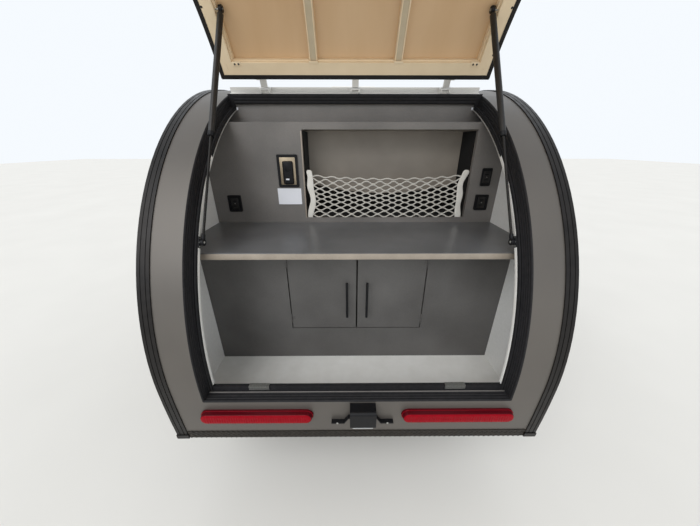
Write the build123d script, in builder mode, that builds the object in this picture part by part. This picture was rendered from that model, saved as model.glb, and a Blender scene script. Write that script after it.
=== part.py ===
from build123d import *
from math import acos, asin, atan2, cos, degrees, radians, sin, sqrt
import os

# Teardrop camping trailer with a rear galley, parked on its tongue jack with the hatch open.
# Millimetres. X is to the right seen from behind, Y forward to the coupler, Z up.
# The origin is on the ground, on the centre line, halfway between the hatch's tip and the coupler.

os.makedirs("parts", exist_ok=True)

# Places of the body in the frame
tail_y = -1735
body_z = 430

# Body shell, seen from the side: tangent arcs from the tail over the roof to the chin
half_width = 750
side_wall = 38
roof_wall = 38
tail_wall = 46
tail_radius = 1125
tail_mid_z = 280
tuck_radius = 4300
roof_radius = 3600
nose_radius = 760
nose_turn = 22
chin_radius = 1400
roof_split = 18
seat_gap = 0.3

# Floor
floor_top = 74
floor_thick = 18
cut_past = 1

# Galley opening in the tail, its jamb and its seal
opening_half = 598
apron_top = 222
roof_edge_angle = 70.3
jamb_clear_half = 574
jamb_outer_half = 640
jamb_thick = 14
jamb_foot_z = 170
sill_top = 252
top_jamb_thick = 6
top_jamb_rise = 8
top_jamb_drop = 34
seal_rise = 5
seal_width = 7
seal_pitch = 10
seal_rows = 2
seal_edge = 3
seal_root = 1

# Hatch and its hinges
hatch_half = 587
hatch_thick = 36
hatch_skin_thick = 3
hatch_gap = 8
hatch_front_angle = 68.5
hatch_rail = 38
hatch_rib_x = 180
hatch_rib_width = 34
hatch_rib_deep = 22
hatch_rib_crown = 7
hatch_open = 84
hinge_angle = 71.4
hinge_rise = 23
hinge_places = (-425, 0, 425)
hinge_knuckle = 30
ear_play = 0.5
hinge_arm_thick = 7
hinge_barrel = 9
hinge_pin = 4
hinge_ear = 7
pin_play = 0.1
hinge_rail_thick = 3
hinge_rail_flange = 26
hinge_rail_reach = 28

# Gas struts
strut_top_angle = 56.75
strut_top_inset = 21
strut_top_x = 505
strut_foot_angle = 29.5
strut_foot_x = 561
strut_tube_radius = 11
strut_tube_length = 472
strut_rod_radius = 4.5
strut_rod_overlap = 60
strut_eye_radius = 9
strut_eye_width = 12
strut_bore_start = 30
strut_neck = 1
stud_radius = 4
stud_base = 3
stud_collar = 2
stud_end = 0.5
stud_play = 0.1
latch_width = 104
latch_height = 62
latch_corner = 9
latch_seat = 6
latch_stand = 12
latch_recess = 7

# Galley
panel_thick = 18
counter_top = 757
counter_thick = 27
counter_edge = 2
counter_clear = 35
counter_overhang = 190
header_gap = 6.7
shelf_deep = 128
shelf_drop = 182
cubby_left = -248
cubby_right = 566
cubby_foot = 26
cubby_head = 30
cubby_deep = 175
cubby_wall = 9
doorway_left = -324
doorway_right = 336
doorway_bottom = 262
doorway_top = 700
galley_door_gap = 5
galley_meeting_gap = 7
galley_hinge_out = 3.5
galley_hinge_radius = 3
galley_pin_radius = 1.5
galley_hinge_length = 50
galley_hinge_leaf = 1
galley_leaf_width = 14
galley_hinge_levels = (0.15, 0.85)
pull_length = 190
pull_span = 128
pull_radius = 6
pull_post_radius = 4.5
pull_stand = 32
pull_from_edge = 44
pull_mid_z = 448

# Fittings on the backsplash: left edge, right edge, bottom, top
power_panel = (-375, -276, 937, 1087)
outlet_rows = (
    (-641, -575, 815, 898),
    (608, 674, 822, 900),
    (618, 666, 942, 1026),
)
plate_stand = 6
plate_border = 12
plate_recess = 3
net_left = -234
net_right = 550
net_top = 1006
net_thick = 8

# Tail lamps and trim on the apron
lamp_inner = 175
lamp_outer = 620
lamp_bottom = 121
lamp_height = 58
lamp_stand = 23
lamp_base = 6
lamp_corner = 27
lamp_step = 3
lamp_taper = 8
plate_lamp_x = 20
plate_lamp_width = 100
plate_lamp_top = 213
plate_lamp_bottom = 128
plate_lamp_stand = 48
plate_lamp_round = 12
plate_strap_z = 112
plate_strap_half = 124
plate_strap_bend = 73
plate_strap_inner = 56
plate_strap_rise = 28
plate_strap_thick = 5
plate_strap_stand = 14
tread_height = 42
tread_thick = 2.5
striker_x = 392
striker_width = 80
striker_thick = 3
striker_drop = 16

# Corner trim
trim_width = 44
trim_stand = 4
trim_leg = 26
trim_lap = 3
trim_groove = 3
trim_groove_deep = 1.6
trim_groove_places = (0.3, 0.7)
trim_cap_margin = 3
trim_cap_height = 22

# Entry doors in the side walls
door_y = 1700
door_width = 640
door_bottom = 190
door_clear = 155
door_corner = 90
door_gap = 6
door_stand = 4
door_frame = 24
door_hinge_radius = 6
door_hinge_out = 7
door_pin_radius = 3
hinge_leaf_gap = 1
door_hinge_length = 70
door_hinge_levels = (0.18, 0.82)
window_width = 400
window_height = 300
window_top_margin = 60
window_corner = 60
window_frame = 26
window_stand = 5
glass_thick = 5
handle_width = 64
handle_height = 112
handle_stand = 12
handle_recess = 6
handle_from_edge = 62
hinge_leaf = 3
window_lap = 8

# Roof vent
vent_y = 1500
vent_size = 356
vent_flange = 26
vent_wall = 8
vent_rise = 40
vent_flange_thick = 4
vent_lid_thick = 5
vent_lid_skirt = 24
vent_lid_crown = 28
vent_clear = 5
vent_lid_corner = 22
vent_lid_taper = 0.8
vent_hinge_x = 110
vent_hinge_radius = 6
vent_hinge_gap = 2
vent_pin_radius = 3
vent_ear_play = 0.5
vent_ear = 8
vent_tab = 16
vent_play = 3

# Mattress
mattress_thick = 100
mattress_side_gap = 18
mattress_front_gap = 97
mattress_corner = 60

# Chassis
rail_x = 520
rail_nose_gap = 56
rail_width = 50
rail_height = 76
rail_rear_y = 70
cross_width = 50
cross_height = 50
cross_rows = (200, 800, 1430, 2100)
tongue_length = 1010
tongue_apex_half = 48

# Coupler and tongue jack
coupler_socket = 26
coupler_wall = 6
coupler_reach = 130
coupler_plate_gap = 2
coupler_drop = 18
coupler_crown = 22
coupler_lever = 46
lever_thick = 10
lever_rise = 34
lever_root = 1
jack_back = 170
jack_tube_radius = 28.5
jack_tube_wall = 4
jack_leg_radius = 24
jack_tube_bottom = 250
jack_tube_top = 760
jack_leg_top = 540
jack_travel = 200
jack_top_clear = 6
jack_foot_radius = 80
jack_foot_thick = 6
jack_foot_cup = 34
jack_foot_taper = 15
jack_leg_play = 0.2
jack_flange = 8
jack_flange_radius = 57
jack_head = 46
jack_crank = 170
jack_crank_radius = 7
jack_crank_flat = 17.5
jack_grip_radius = 10
plate_thick = 6
plate_rear_back = 260
plate_front_back = 60

# Axle and wheels
axle_y = 1290
wheel_radius = 331.5
rim_radius = 178
tyre_width = 205
wheel_x = 880
axle_tube = 60
axle_half = 726
arm_length = 150
arm_width = 26
arm_radius = 36
arm_end_radius = 30
spindle_radius = 20
hub_radius = 44
hub_length = 90
rim_half = 88
rim_wall = 5
rim_flange = 14
disc_thick = 9
disc_offset = 18
hub_cap = 24
hub_cap_taper = 10
spindle_play = 0.05
spoke_window = 46
window_fillet = 12
spoke_count = 8
window_inner = 88
window_outer = 148
lug_count = 5
lug_circle = 57.15
lug_radius = 9
bead_half = 84
tyre_shoulder = 34
tyre_bulge = 52
tyre_flat = 20
tyre_turn = 6
bead_rise = 2

# Fenders
fender_half_top = 262
fender_half_foot = 452
fender_rise = 392
fender_foot_rise = 60
fender_corner = 70
fender_thick = 4
fender_width = 252
fender_lip = 34

# Side marker lamps: place along the body, height above the body's bottom edge
marker_rows = (
    (130, 150),
    (2700, 170),
)
marker_length = 62
marker_height = 24
marker_stand = 16
marker_taper = 12


# Worked out from the sizes above
inner_half = half_width - side_wall
roof_top = tail_mid_z + tail_radius
tail_centre = (tail_radius, tail_mid_z)
tuck_centre = (tuck_radius, tail_mid_z)
roof_centre = (tail_radius, roof_top - roof_radius)
nose_reach = roof_radius - nose_radius
nose_y = tail_radius + nose_reach * sin(radians(nose_turn))
nose_level = roof_top - roof_radius + nose_reach * cos(radians(nose_turn))
nose_centre = (nose_y, nose_level)
chin_y = nose_y + nose_radius - chin_radius
chin_centre = (chin_y, nose_level)
door_corner_y = door_y + door_width - door_corner
door_corner_reach = nose_radius - door_clear - door_corner
door_corner_z = nose_level + sqrt(door_corner_reach**2 - (door_corner_y - nose_y) ** 2)
door_height = door_corner_z + door_corner - door_bottom
floor_bottom = floor_top - floor_thick
floor_front = chin_y + sqrt((chin_radius - roof_wall) ** 2 - (nose_level - floor_bottom) ** 2) - seat_gap
mattress_front_y = floor_front - mattress_front_gap
jamb_face = tail_wall + seat_gap
jamb_back = jamb_face + jamb_thick

# Galley places: the header clears the tail skin's upper end and the counter clears the jamb
header_y = tail_radius - (tail_radius - tail_wall) * cos(radians(roof_edge_angle)) + header_gap
bulkhead_y = header_y - shelf_deep
counter_level = counter_top - tail_mid_z
counter_y = tail_radius - sqrt((tail_radius - jamb_back) ** 2 - counter_level**2) + counter_clear
cabinet_y = counter_y + counter_overhang
shelf_top = roof_top - shelf_drop
cubby_bottom = counter_top + cubby_foot
cubby_top = shelf_top - cubby_head

# Chassis places, forward along the trailer
rail_front_y = floor_front - rail_nose_gap
tongue_rear_y = rail_front_y - rail_width
apex_y = tongue_rear_y + tongue_length
tongue_spread = rail_x - tongue_apex_half
coupler_y = apex_y + coupler_reach
jack_y = apex_y - jack_back
plate_rear_y = apex_y - plate_rear_back
plate_front_y = apex_y - plate_front_back


def polar(centre, radius, angle):
    """Point on a circle, its angle counted from the forward direction."""
    return (centre[0] + radius * cos(radians(angle)), centre[1] + radius * sin(radians(angle)))


def tail_point(angle, inset):
    """Point at an angle up the tail's arc, an inset inside its skin."""
    return polar(tail_centre, tail_radius - inset, 180 - angle)


def side_plane(x=0):
    """Vertical plane along the trailer: y from the tail, z from the body's bottom edge."""
    return Plane(origin=(x, tail_y, body_z), x_dir=(0, 1, 0), z_dir=(1, 0, 0))


def back_plane(y):
    """Vertical plane across the trailer, facing backwards: x, and z from the bottom edge."""
    return Plane(origin=(0, tail_y + y, body_z), x_dir=(1, 0, 0), z_dir=(0, -1, 0))


def level_plane(z):
    """Level plane at a height above the body's bottom edge: x, and y from the tail."""
    return Plane(origin=(0, tail_y, body_z + z), x_dir=(1, 0, 0), z_dir=(0, 0, 1))


def tuck_end(inset, z):
    """Angle on the tuck's arc where it comes down to a height."""
    return 180 + degrees(asin((tail_mid_z - z) / (tuck_radius - inset)))


def chin_end(inset, z):
    """Angle on the chin's arc where it comes down to a height."""
    return -degrees(asin((nose_level - z) / (chin_radius - inset)))


def band(plane, arcs, outer, inner):
    """Face between two insets of a chain of tangent arcs: centre, radius, start, end."""
    with BuildSketch(plane) as face:
        with BuildLine():
            for centre, radius, start, end in arcs:
                CenterArc(centre, radius - outer, start, end - start)
                CenterArc(centre, radius - inner, start, end - start)
            ends = ((*arcs[0][:2], arcs[0][2]), (*arcs[-1][:2], arcs[-1][3]))
            for centre, radius, angle in ends:
                Line(polar(centre, radius - outer, angle), polar(centre, radius - inner, angle))
        make_face()
    return face.sketch


def rectangle(plane, left, right, bottom, top):
    """Rectangle by its four edges on a plane."""
    with BuildSketch(plane) as face:
        with Locations(((left + right) / 2, (bottom + top) / 2)):
            Rectangle(right - left, top - bottom)
    return face.sketch


def finish(piece, label):
    """Name a finished sub-part and write it."""
    piece.part.label = label
    export_step(piece.part, f"parts/{label}.step")


# Arcs of the outline, from the nose back to the tail: centre, radius, start, end
chin_arc = (chin_centre, chin_radius, chin_end(0, 0), 0)
nose_arc = (nose_centre, nose_radius, 0, 90 - nose_turn)
roof_arc = (roof_centre, roof_radius, 90 - nose_turn, 90)
roof_front_arc = (roof_centre, roof_radius, 90 - nose_turn, 90 - roof_split)
roof_rear_arc = (roof_centre, roof_radius, 90 - roof_split, 90)
tail_arc = (tail_centre, tail_radius, 90, 180)
tuck_arc = (tuck_centre, tuck_radius, 180, tuck_end(0, 0))
roof_tail_arc = (tail_centre, tail_radius, 90, 180 - roof_edge_angle)
flank_arc = (tail_centre, tail_radius, 180 - roof_edge_angle, 180)

# The hatch is drawn shut, on a plane that stands open about the hinge pin
hinge_point = tail_point(hinge_angle, -hinge_rise)
open_turn = radians(-hatch_open)
open_along = Vector(0, cos(open_turn), sin(open_turn))
open_up = Vector(0, -sin(open_turn), cos(open_turn))


def hatch_plane(x=0):
    """The side plane turned about the hinge pin to the open hatch."""
    pin = Vector(x, tail_y + hinge_point[0], body_z + hinge_point[1])
    corner = pin - open_along * hinge_point[0] - open_up * hinge_point[1]
    return Plane(origin=corner, x_dir=open_along, z_dir=(1, 0, 0))


def hatch_back_plane(y):
    """The backward-facing plane, turned about the hinge pin to the open hatch."""
    corner = hatch_plane().origin + open_along * y
    return Plane(origin=corner, x_dir=(1, 0, 0), z_dir=-open_along)


def hatch_place(point):
    """Where a point drawn on the shut hatch stands when it is open."""
    return hatch_plane().origin + open_along * point[0] + open_up * point[1]


def pin_plane(x, turn):
    """Plane across the hinge pin: along the skin and outwards, turned about the pin."""
    lean = radians(90 - hinge_angle + turn)
    middle = Vector(x, tail_y + hinge_point[0], body_z + hinge_point[1])
    return Plane(origin=middle, x_dir=(0, cos(lean), sin(lean)), z_dir=(1, 0, 0))


vent_turn = degrees(asin((vent_y - tail_radius) / roof_radius))
vent_centre = polar(roof_centre, roof_radius, 90 - vent_turn)


def vent_plane(rise):
    """Plane square to the roof at the vent's middle, a rise above the skin."""
    upward = Vector(0, sin(radians(vent_turn)), cos(radians(vent_turn)))
    middle = Vector(0, tail_y + vent_centre[0], body_z + vent_centre[1])
    return Plane(origin=middle + upward * rise, x_dir=(1, 0, 0), z_dir=upward)


# Side walls with their entry doorways
doorway_y = door_y - door_gap
doorway_width = door_width + 2 * door_gap
doorway_height = door_height + 2 * door_gap
door_mid = (door_y + door_width / 2, door_bottom + door_height / 2)

with BuildSketch(side_plane()) as outline:
    with BuildLine():
        for centre, radius, start, end in (chin_arc, nose_arc, roof_arc, tail_arc, tuck_arc):
            CenterArc(centre, radius, start, end - start)
        tuck_foot = polar(tuck_centre, tuck_radius, tuck_end(0, 0))
        Line(tuck_foot, polar(chin_centre, chin_radius, chin_end(0, 0)))
    make_face()
    with Locations(door_mid):
        RectangleRounded(doorway_width, doorway_height, door_corner + door_gap, mode=Mode.SUBTRACT)

with BuildPart() as side_walls:
    for x in (-half_width, inner_half):
        with Locations((x, 0, 0)):
            add(extrude(outline.sketch, amount=side_wall, mode=Mode.PRIVATE))
finish(side_walls, "side_walls")

# Roof, nose and tail skins, between the side walls
with BuildPart() as roof_panel:
    extrude(band(side_plane(), (roof_rear_arc, roof_tail_arc), 0, roof_wall), amount=inner_half, both=True)
    with BuildSketch(vent_plane(vent_rise)):
        Rectangle(vent_size + 2 * vent_play, vent_size + 2 * vent_play)
    extrude(amount=-vent_rise - 2 * roof_wall, mode=Mode.SUBTRACT)
finish(roof_panel, "roof_panel")

nose_arcs = (chin_arc, nose_arc, roof_front_arc)
with BuildPart() as nose_panel:
    extrude(band(side_plane(), nose_arcs, 0, roof_wall), amount=inner_half, both=True)
finish(nose_panel, "nose_panel")

with BuildPart() as tail_skin:
    extrude(band(side_plane(), (flank_arc, tuck_arc), 0, tail_wall), amount=inner_half, both=True)
    extrude(
        rectangle(back_plane(tail_radius), -opening_half, opening_half, apron_top, roof_top),
        amount=2 * tail_radius,
        mode=Mode.SUBTRACT,
    )
finish(tail_skin, "tail_skin")

# Corner trim: a grooved strip over each edge, a leg down the side wall and a cap at its foot
trim_arcs = (chin_arc, nose_arc, roof_arc, tail_arc, tuck_arc)
trim_inner = half_width + trim_lap - trim_width
cap_arcs = ((tuck_centre, tuck_radius, tuck_end(0, trim_cap_height), tuck_end(0, 0)),)
cap_x = trim_inner - trim_cap_margin
cap_stand = trim_stand + trim_cap_margin
with BuildPart() as corner_trims:
    for side in (-1, 1):
        extrude(band(side_plane(side * trim_inner), trim_arcs, -trim_stand, 0), amount=side * trim_width)
        extrude(band(side_plane(side * half_width), trim_arcs, 0, trim_leg), amount=side * trim_lap)
        for share in trim_groove_places:
            groove = side_plane(side * (trim_inner + share * trim_width - trim_groove / 2))
            extrude(
                band(groove, trim_arcs, -trim_stand, trim_groove_deep - trim_stand),
                amount=side * trim_groove,
                mode=Mode.SUBTRACT,
            )
        extrude(band(side_plane(side * cap_x), cap_arcs, -cap_stand, 0), amount=side * (half_width - cap_x))
        cap_side = band(side_plane(side * half_width), cap_arcs, -cap_stand, trim_leg + trim_cap_margin)
        extrude(cap_side, amount=side * (trim_lap + trim_cap_margin))
finish(corner_trims, "corner_trims")

# Floor between the tail skin and the nose
floor_rear = polar(tuck_centre, tuck_radius - tail_wall, tuck_end(tail_wall, floor_bottom))[0] + seat_gap
with BuildPart() as floor_deck:
    with BuildSketch(level_plane(floor_bottom)):
        with Locations((0, (floor_rear + floor_front) / 2)):
            Rectangle(2 * inner_half, floor_front - floor_rear)
    extrude(amount=floor_thick)
finish(floor_deck, "floor_deck")

# Jamb: a ring behind the flanks and the apron, with seal ribs, and a top plate on the roof's edge
jamb_arcs = (flank_arc, (tuck_centre, tuck_radius, 180, tuck_end(jamb_face, jamb_foot_z)))
top_jamb_turn = degrees(top_jamb_thick / tail_radius)
top_jamb_start = 180 - roof_edge_angle
top_jamb_arcs = ((tail_centre, tail_radius, top_jamb_start, top_jamb_start + top_jamb_turn),)
top_jamb_half = opening_half - seat_gap
with BuildPart() as hatch_jamb:
    extrude(band(side_plane(), jamb_arcs, jamb_face, jamb_back), amount=jamb_outer_half, both=True)
    extrude(
        rectangle(back_plane(tail_radius), -jamb_clear_half, jamb_clear_half, sill_top, roof_top),
        amount=2 * tail_radius,
        mode=Mode.SUBTRACT,
    )
    rib_bottom = apron_top + seal_edge
    flank_rib_arcs = (flank_arc, (tuck_centre, tuck_radius, 180, tuck_end(jamb_face, rib_bottom)))
    for row in range(seal_rows):
        rib_x = jamb_clear_half + seal_edge + row * seal_pitch
        for side in (-1, 1):
            rib = band(side_plane(side * rib_x), flank_rib_arcs, jamb_face - seal_rise, jamb_face + seal_root)
            extrude(rib, amount=side * seal_width)
    sill_rib = rectangle(
        side_plane(), jamb_face - seal_rise, jamb_face + seal_root, rib_bottom, rib_bottom + seal_width
    )
    extrude(sill_rib, amount=rib_x + seal_width, both=True)
    extrude(band(side_plane(), top_jamb_arcs, -top_jamb_rise, top_jamb_drop), amount=top_jamb_half, both=True)
    for side in (-1, 1):
        corner = band(side_plane(side * jamb_clear_half), top_jamb_arcs, -top_jamb_rise, jamb_back)
        extrude(corner, amount=side * (top_jamb_half - jamb_clear_half))
finish(hatch_jamb, "hatch_jamb")

# Hinge rail on the roof's edge: a strip with an upstand, and ears with a pin for each hinge
upstand_angle = hinge_angle + degrees(hinge_rail_reach / tail_radius)
rail_arcs = ((tail_centre, tail_radius, 180 - upstand_angle, 180 - roof_edge_angle),)
upstand_turn = degrees(hinge_rail_thick / tail_radius)
upstand_arcs = ((tail_centre, tail_radius, 180 - upstand_angle, 180 - upstand_angle + upstand_turn),)
ear_inner = hinge_knuckle / 2 + ear_play
with BuildPart() as hinge_rail:
    extrude(band(side_plane(), rail_arcs, -hinge_rail_thick, 0), amount=opening_half, both=True)
    extrude(band(side_plane(), upstand_arcs, -hinge_rail_flange, 0), amount=opening_half, both=True)
    for x in hinge_places:
        for side in (-1, 1):
            with BuildSketch(pin_plane(x + side * ear_inner, 0)):
                Circle(hinge_barrel)
                with Locations((0, (hinge_rail_thick / 2 - hinge_rise) / 2)):
                    Rectangle(2 * hinge_barrel, hinge_rise - hinge_rail_thick / 2)
            extrude(amount=side * hinge_ear)
        with BuildSketch(pin_plane(x, 0)):
            Circle(hinge_pin)
        extrude(amount=ear_inner + hinge_ear, both=True)
finish(hinge_rail, "hinge_rail")

# Hatch: skin, frame with ribs, hinge arms, latches and strut brackets
hatch_bottom = apron_top + hatch_gap
hatch_front = 180 - hatch_front_angle
hatch_arcs = (
    (tail_centre, tail_radius, hatch_front, 180),
    (tuck_centre, tuck_radius, 180, tuck_end(0, hatch_bottom)),
)
hatch_inner_arcs = (
    (tail_centre, tail_radius, hatch_front + degrees(hatch_rail / tail_radius), 180),
    (tuck_centre, tuck_radius, 180, tuck_end(0, hatch_bottom + hatch_rail)),
)
rib_arcs = (
    (tail_centre, tail_radius, hatch_front + degrees(hatch_rail / 2 / tail_radius), 180),
    (tuck_centre, tuck_radius, 180, tuck_end(0, hatch_bottom + hatch_rail / 2)),
)
with BuildPart() as hatch_skin:
    extrude(band(hatch_plane(), hatch_arcs, 0, hatch_skin_thick), amount=hatch_half, both=True)
finish(hatch_skin, "hatch_skin")

with BuildPart() as hatch_frame:
    extrude(band(hatch_plane(), hatch_arcs, hatch_skin_thick, hatch_thick), amount=hatch_half, both=True)
    extrude(
        band(hatch_plane(), hatch_inner_arcs, 0, hatch_thick + cut_past),
        amount=hatch_half - hatch_rail,
        both=True,
        mode=Mode.SUBTRACT,
    )
    for x in (-hatch_rib_x, hatch_rib_x):
        rib_base = band(hatch_plane(x), rib_arcs, hatch_skin_thick, hatch_rib_deep - hatch_rib_crown)
        extrude(rib_base, amount=hatch_rib_width / 2, both=True)
        rib_crest = band(hatch_plane(x), rib_arcs, hatch_rib_deep - hatch_rib_crown, hatch_rib_deep)
        extrude(rib_crest, amount=hatch_rib_width / 2 - hatch_rib_crown, both=True)
finish(hatch_frame, "hatch_frame")

arm_turn = degrees(hinge_arm_thick / tail_radius)
arm_arcs = ((tail_centre, tail_radius, hatch_front - arm_turn, hatch_front),)
arm_reach = tail_radius * sin(radians(hinge_angle - hatch_front_angle))
with BuildPart() as hatch_hinges:
    for x in hinge_places:
        extrude(
            band(hatch_plane(x), arm_arcs, -hinge_rise - hinge_arm_thick / 2, hatch_thick - hinge_arm_thick),
            amount=hinge_knuckle / 2,
            both=True,
        )
        with BuildSketch(pin_plane(x, -hatch_open)):
            Circle(hinge_barrel)
            with Locations((-arm_reach / 2, 0)):
                Rectangle(arm_reach, hinge_arm_thick)
        extrude(amount=hinge_knuckle / 2, both=True)
        with BuildSketch(pin_plane(x, -hatch_open)):
            Circle(hinge_pin + pin_play)
        extrude(amount=hinge_knuckle, both=True, mode=Mode.SUBTRACT)
finish(hatch_hinges, "hatch_hinges")

latch_z = hatch_bottom + (hatch_rail + latch_height) / 2
cup_width = latch_width - 2 * latch_corner
cup_height = latch_height - 2 * latch_corner
with BuildPart() as hatch_latches:
    for x in (-striker_x, striker_x):
        with BuildSketch(hatch_back_plane(latch_seat)):
            with Locations((x, latch_z)):
                RectangleRounded(latch_width, latch_height, latch_corner)
        extrude(amount=latch_seat + latch_stand)
        with BuildSketch(hatch_back_plane(-latch_stand)):
            with Locations((x, latch_z)):
                RectangleRounded(cup_width, cup_height, latch_corner / 2)
        extrude(amount=-latch_recess, mode=Mode.SUBTRACT)
    extrude(band(hatch_plane(), hatch_arcs, 0, hatch_thick), amount=hatch_half, both=True, mode=Mode.SUBTRACT)
finish(hatch_latches, "hatch_latches")

with BuildPart() as strut_brackets:
    bracket_x = hatch_half - hatch_rail
    for side in (-1, 1):
        with BuildSketch(hatch_plane(side * bracket_x)):
            with Locations(tail_point(strut_top_angle, strut_top_inset)):
                Circle(strut_eye_radius + stud_radius)
        extrude(amount=-side * stud_base)
        with BuildSketch(hatch_plane(side * bracket_x)):
            with Locations(tail_point(strut_top_angle, strut_top_inset)):
                Circle(stud_radius)
        extrude(amount=-side * (bracket_x - strut_top_x + strut_eye_width / 2 + stud_base))
finish(strut_brackets, "strut_brackets")

# Gas struts: a tube on the hatch's bracket and a rod down to the stud on the jamb
foot_inset = (jamb_face + jamb_back) / 2
foot_point = tail_point(strut_foot_angle, foot_inset)
with BuildPart() as strut_studs:
    for side in (-1, 1):
        for radius, end_x in (
            (stud_radius + stud_collar, jamb_clear_half - stud_base),
            (stud_radius, strut_foot_x + strut_eye_width / 2 + stud_end),
        ):
            with BuildSketch(side_plane(side * jamb_clear_half)):
                with Locations(foot_point):
                    Circle(radius)
            extrude(amount=-side * (jamb_clear_half - end_x))
finish(strut_studs, "strut_studs")

strut_top = hatch_place(tail_point(strut_top_angle, strut_top_inset))
for side, word in ((-1, "left"), (1, "right")):
    top = Vector(side * strut_top_x, strut_top.Y, strut_top.Z)
    foot = Vector(side * strut_foot_x, tail_y + foot_point[0], body_z + foot_point[1])
    reach = (foot - top).length
    along = Plane(origin=top, x_dir=(1, 0, 0), z_dir=foot - top)
    with BuildPart() as strut_tube:
        with BuildSketch(along):
            Circle(strut_rod_radius + strut_neck)
        extrude(amount=strut_bore_start)
        with BuildSketch(along.offset(strut_bore_start - strut_eye_radius)):
            Circle(strut_tube_radius)
        extrude(amount=strut_tube_length - strut_bore_start + strut_eye_radius)
        with BuildSketch(Plane(origin=top, x_dir=(0, 1, 0), z_dir=(1, 0, 0))):
            Circle(strut_eye_radius)
        extrude(amount=strut_eye_width / 2, both=True)
        with BuildSketch(Plane(origin=top, x_dir=(0, 1, 0), z_dir=(1, 0, 0))):
            Circle(stud_radius + stud_play)
        extrude(amount=strut_eye_width, both=True, mode=Mode.SUBTRACT)
        with BuildSketch(along.offset(strut_bore_start)):
            Circle(strut_rod_radius + pin_play)
        extrude(amount=strut_tube_length, mode=Mode.SUBTRACT)
    finish(strut_tube, f"strut_tube_{word}")

    with BuildPart() as strut_rod:
        with BuildSketch(along.offset(strut_tube_length - strut_rod_overlap)):
            Circle(strut_rod_radius)
        extrude(amount=reach - strut_tube_length + strut_rod_overlap)
        with BuildSketch(Plane(origin=foot, x_dir=(0, 1, 0), z_dir=(1, 0, 0))):
            Circle(strut_eye_radius)
        extrude(amount=strut_eye_width / 2, both=True)
    finish(strut_rod, f"strut_rod_{word}")

# Latch strikers: angles over the sill's edge
with BuildPart() as latch_strikers:
    for x in (-striker_x, striker_x):
        with BuildSketch(side_plane(x)):
            with Locations(((jamb_face + jamb_back - striker_thick) / 2, sill_top + striker_thick / 2)):
                Rectangle(jamb_thick + striker_thick, striker_thick)
            with Locations((jamb_face - striker_thick / 2, sill_top + (striker_thick - striker_drop) / 2)):
                Rectangle(striker_thick, striker_drop + striker_thick)
        extrude(amount=striker_width / 2, both=True)
finish(latch_strikers, "latch_strikers")

# Tread plate along the tail's bottom edge
tread_half = cap_x - seat_gap
tread_arcs = ((tuck_centre, tuck_radius, tuck_end(0, tread_height), tuck_end(0, 0)),)
with BuildPart() as tread_strip:
    extrude(band(side_plane(), tread_arcs, -tread_thick, 0), amount=tread_half, both=True)
finish(tread_strip, "tread_strip")

# Tail lamps: a rounded lens bar on a flat base, seated on the curved apron
lamp_length = lamp_outer - lamp_inner
lamp_mid_x = (lamp_inner + lamp_outer) / 2
lamp_mid_z = lamp_bottom + lamp_height / 2
with BuildPart() as tail_lights:
    for x in (-lamp_mid_x, lamp_mid_x):
        with BuildSketch(back_plane(lamp_base)):
            with Locations((x, lamp_mid_z)):
                RectangleRounded(lamp_length, lamp_height, lamp_corner)
        extrude(amount=2 * lamp_base)
        with BuildSketch(back_plane(-lamp_base)):
            with Locations((x, lamp_mid_z)):
                RectangleRounded(
                    lamp_length - 2 * lamp_step,
                    lamp_height - 2 * lamp_step,
                    lamp_corner - lamp_step,
                )
        extrude(amount=lamp_stand - lamp_base, taper=lamp_taper)
    extrude(band(side_plane(), (tuck_arc,), 0, tail_wall), amount=inner_half, both=True, mode=Mode.SUBTRACT)
finish(tail_lights, "tail_lights")

# Number plate lamp: a hood with a rounded front, on a bent strap with an ear at each side
with BuildPart() as plate_lamp:
    with BuildSketch(side_plane(plate_lamp_x)):
        with BuildLine():
            FilletPolyline(
                (lamp_base, plate_lamp_top),
                (-plate_lamp_stand, plate_lamp_top),
                (-plate_lamp_stand, plate_lamp_bottom),
                (lamp_base, plate_lamp_bottom),
                radius=plate_lamp_round,
            )
            Line((lamp_base, plate_lamp_bottom), (lamp_base, plate_lamp_top))
        make_face()
    extrude(amount=plate_lamp_width / 2, both=True)
    with BuildSketch(back_plane(lamp_base)):
        with BuildLine():
            under = Polyline(
                (plate_lamp_x - plate_strap_half, plate_strap_z),
                (plate_lamp_x - plate_strap_bend, plate_strap_z),
                (plate_lamp_x - plate_strap_inner, plate_strap_z + plate_strap_rise),
                (plate_lamp_x + plate_strap_inner, plate_strap_z + plate_strap_rise),
                (plate_lamp_x + plate_strap_bend, plate_strap_z),
                (plate_lamp_x + plate_strap_half, plate_strap_z),
            )
            over = Polyline(*[(point.X, point.Y + plate_strap_thick) for point in under.vertices()])
            Line(under @ 0, over @ 0)
            Line(under @ 1, over @ 1)
        make_face()
    extrude(amount=lamp_base + plate_strap_stand)
    extrude(band(side_plane(), (tuck_arc,), 0, tail_wall), amount=inner_half, both=True, mode=Mode.SUBTRACT)
finish(plate_lamp, "plate_lamp")

# Bulkhead with the cubby, its shelf and the header wall under the roof
with BuildPart() as bulkhead:
    with BuildSketch(back_plane(bulkhead_y)):
        with Locations((0, (floor_top + shelf_top - panel_thick) / 2)):
            Rectangle(2 * inner_half, shelf_top - panel_thick - floor_top)
        with Locations(((cubby_left + cubby_right) / 2, (cubby_bottom + cubby_top) / 2)):
            Rectangle(cubby_right - cubby_left, cubby_top - cubby_bottom, mode=Mode.SUBTRACT)
    extrude(amount=-panel_thick)
finish(bulkhead, "bulkhead")

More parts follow.
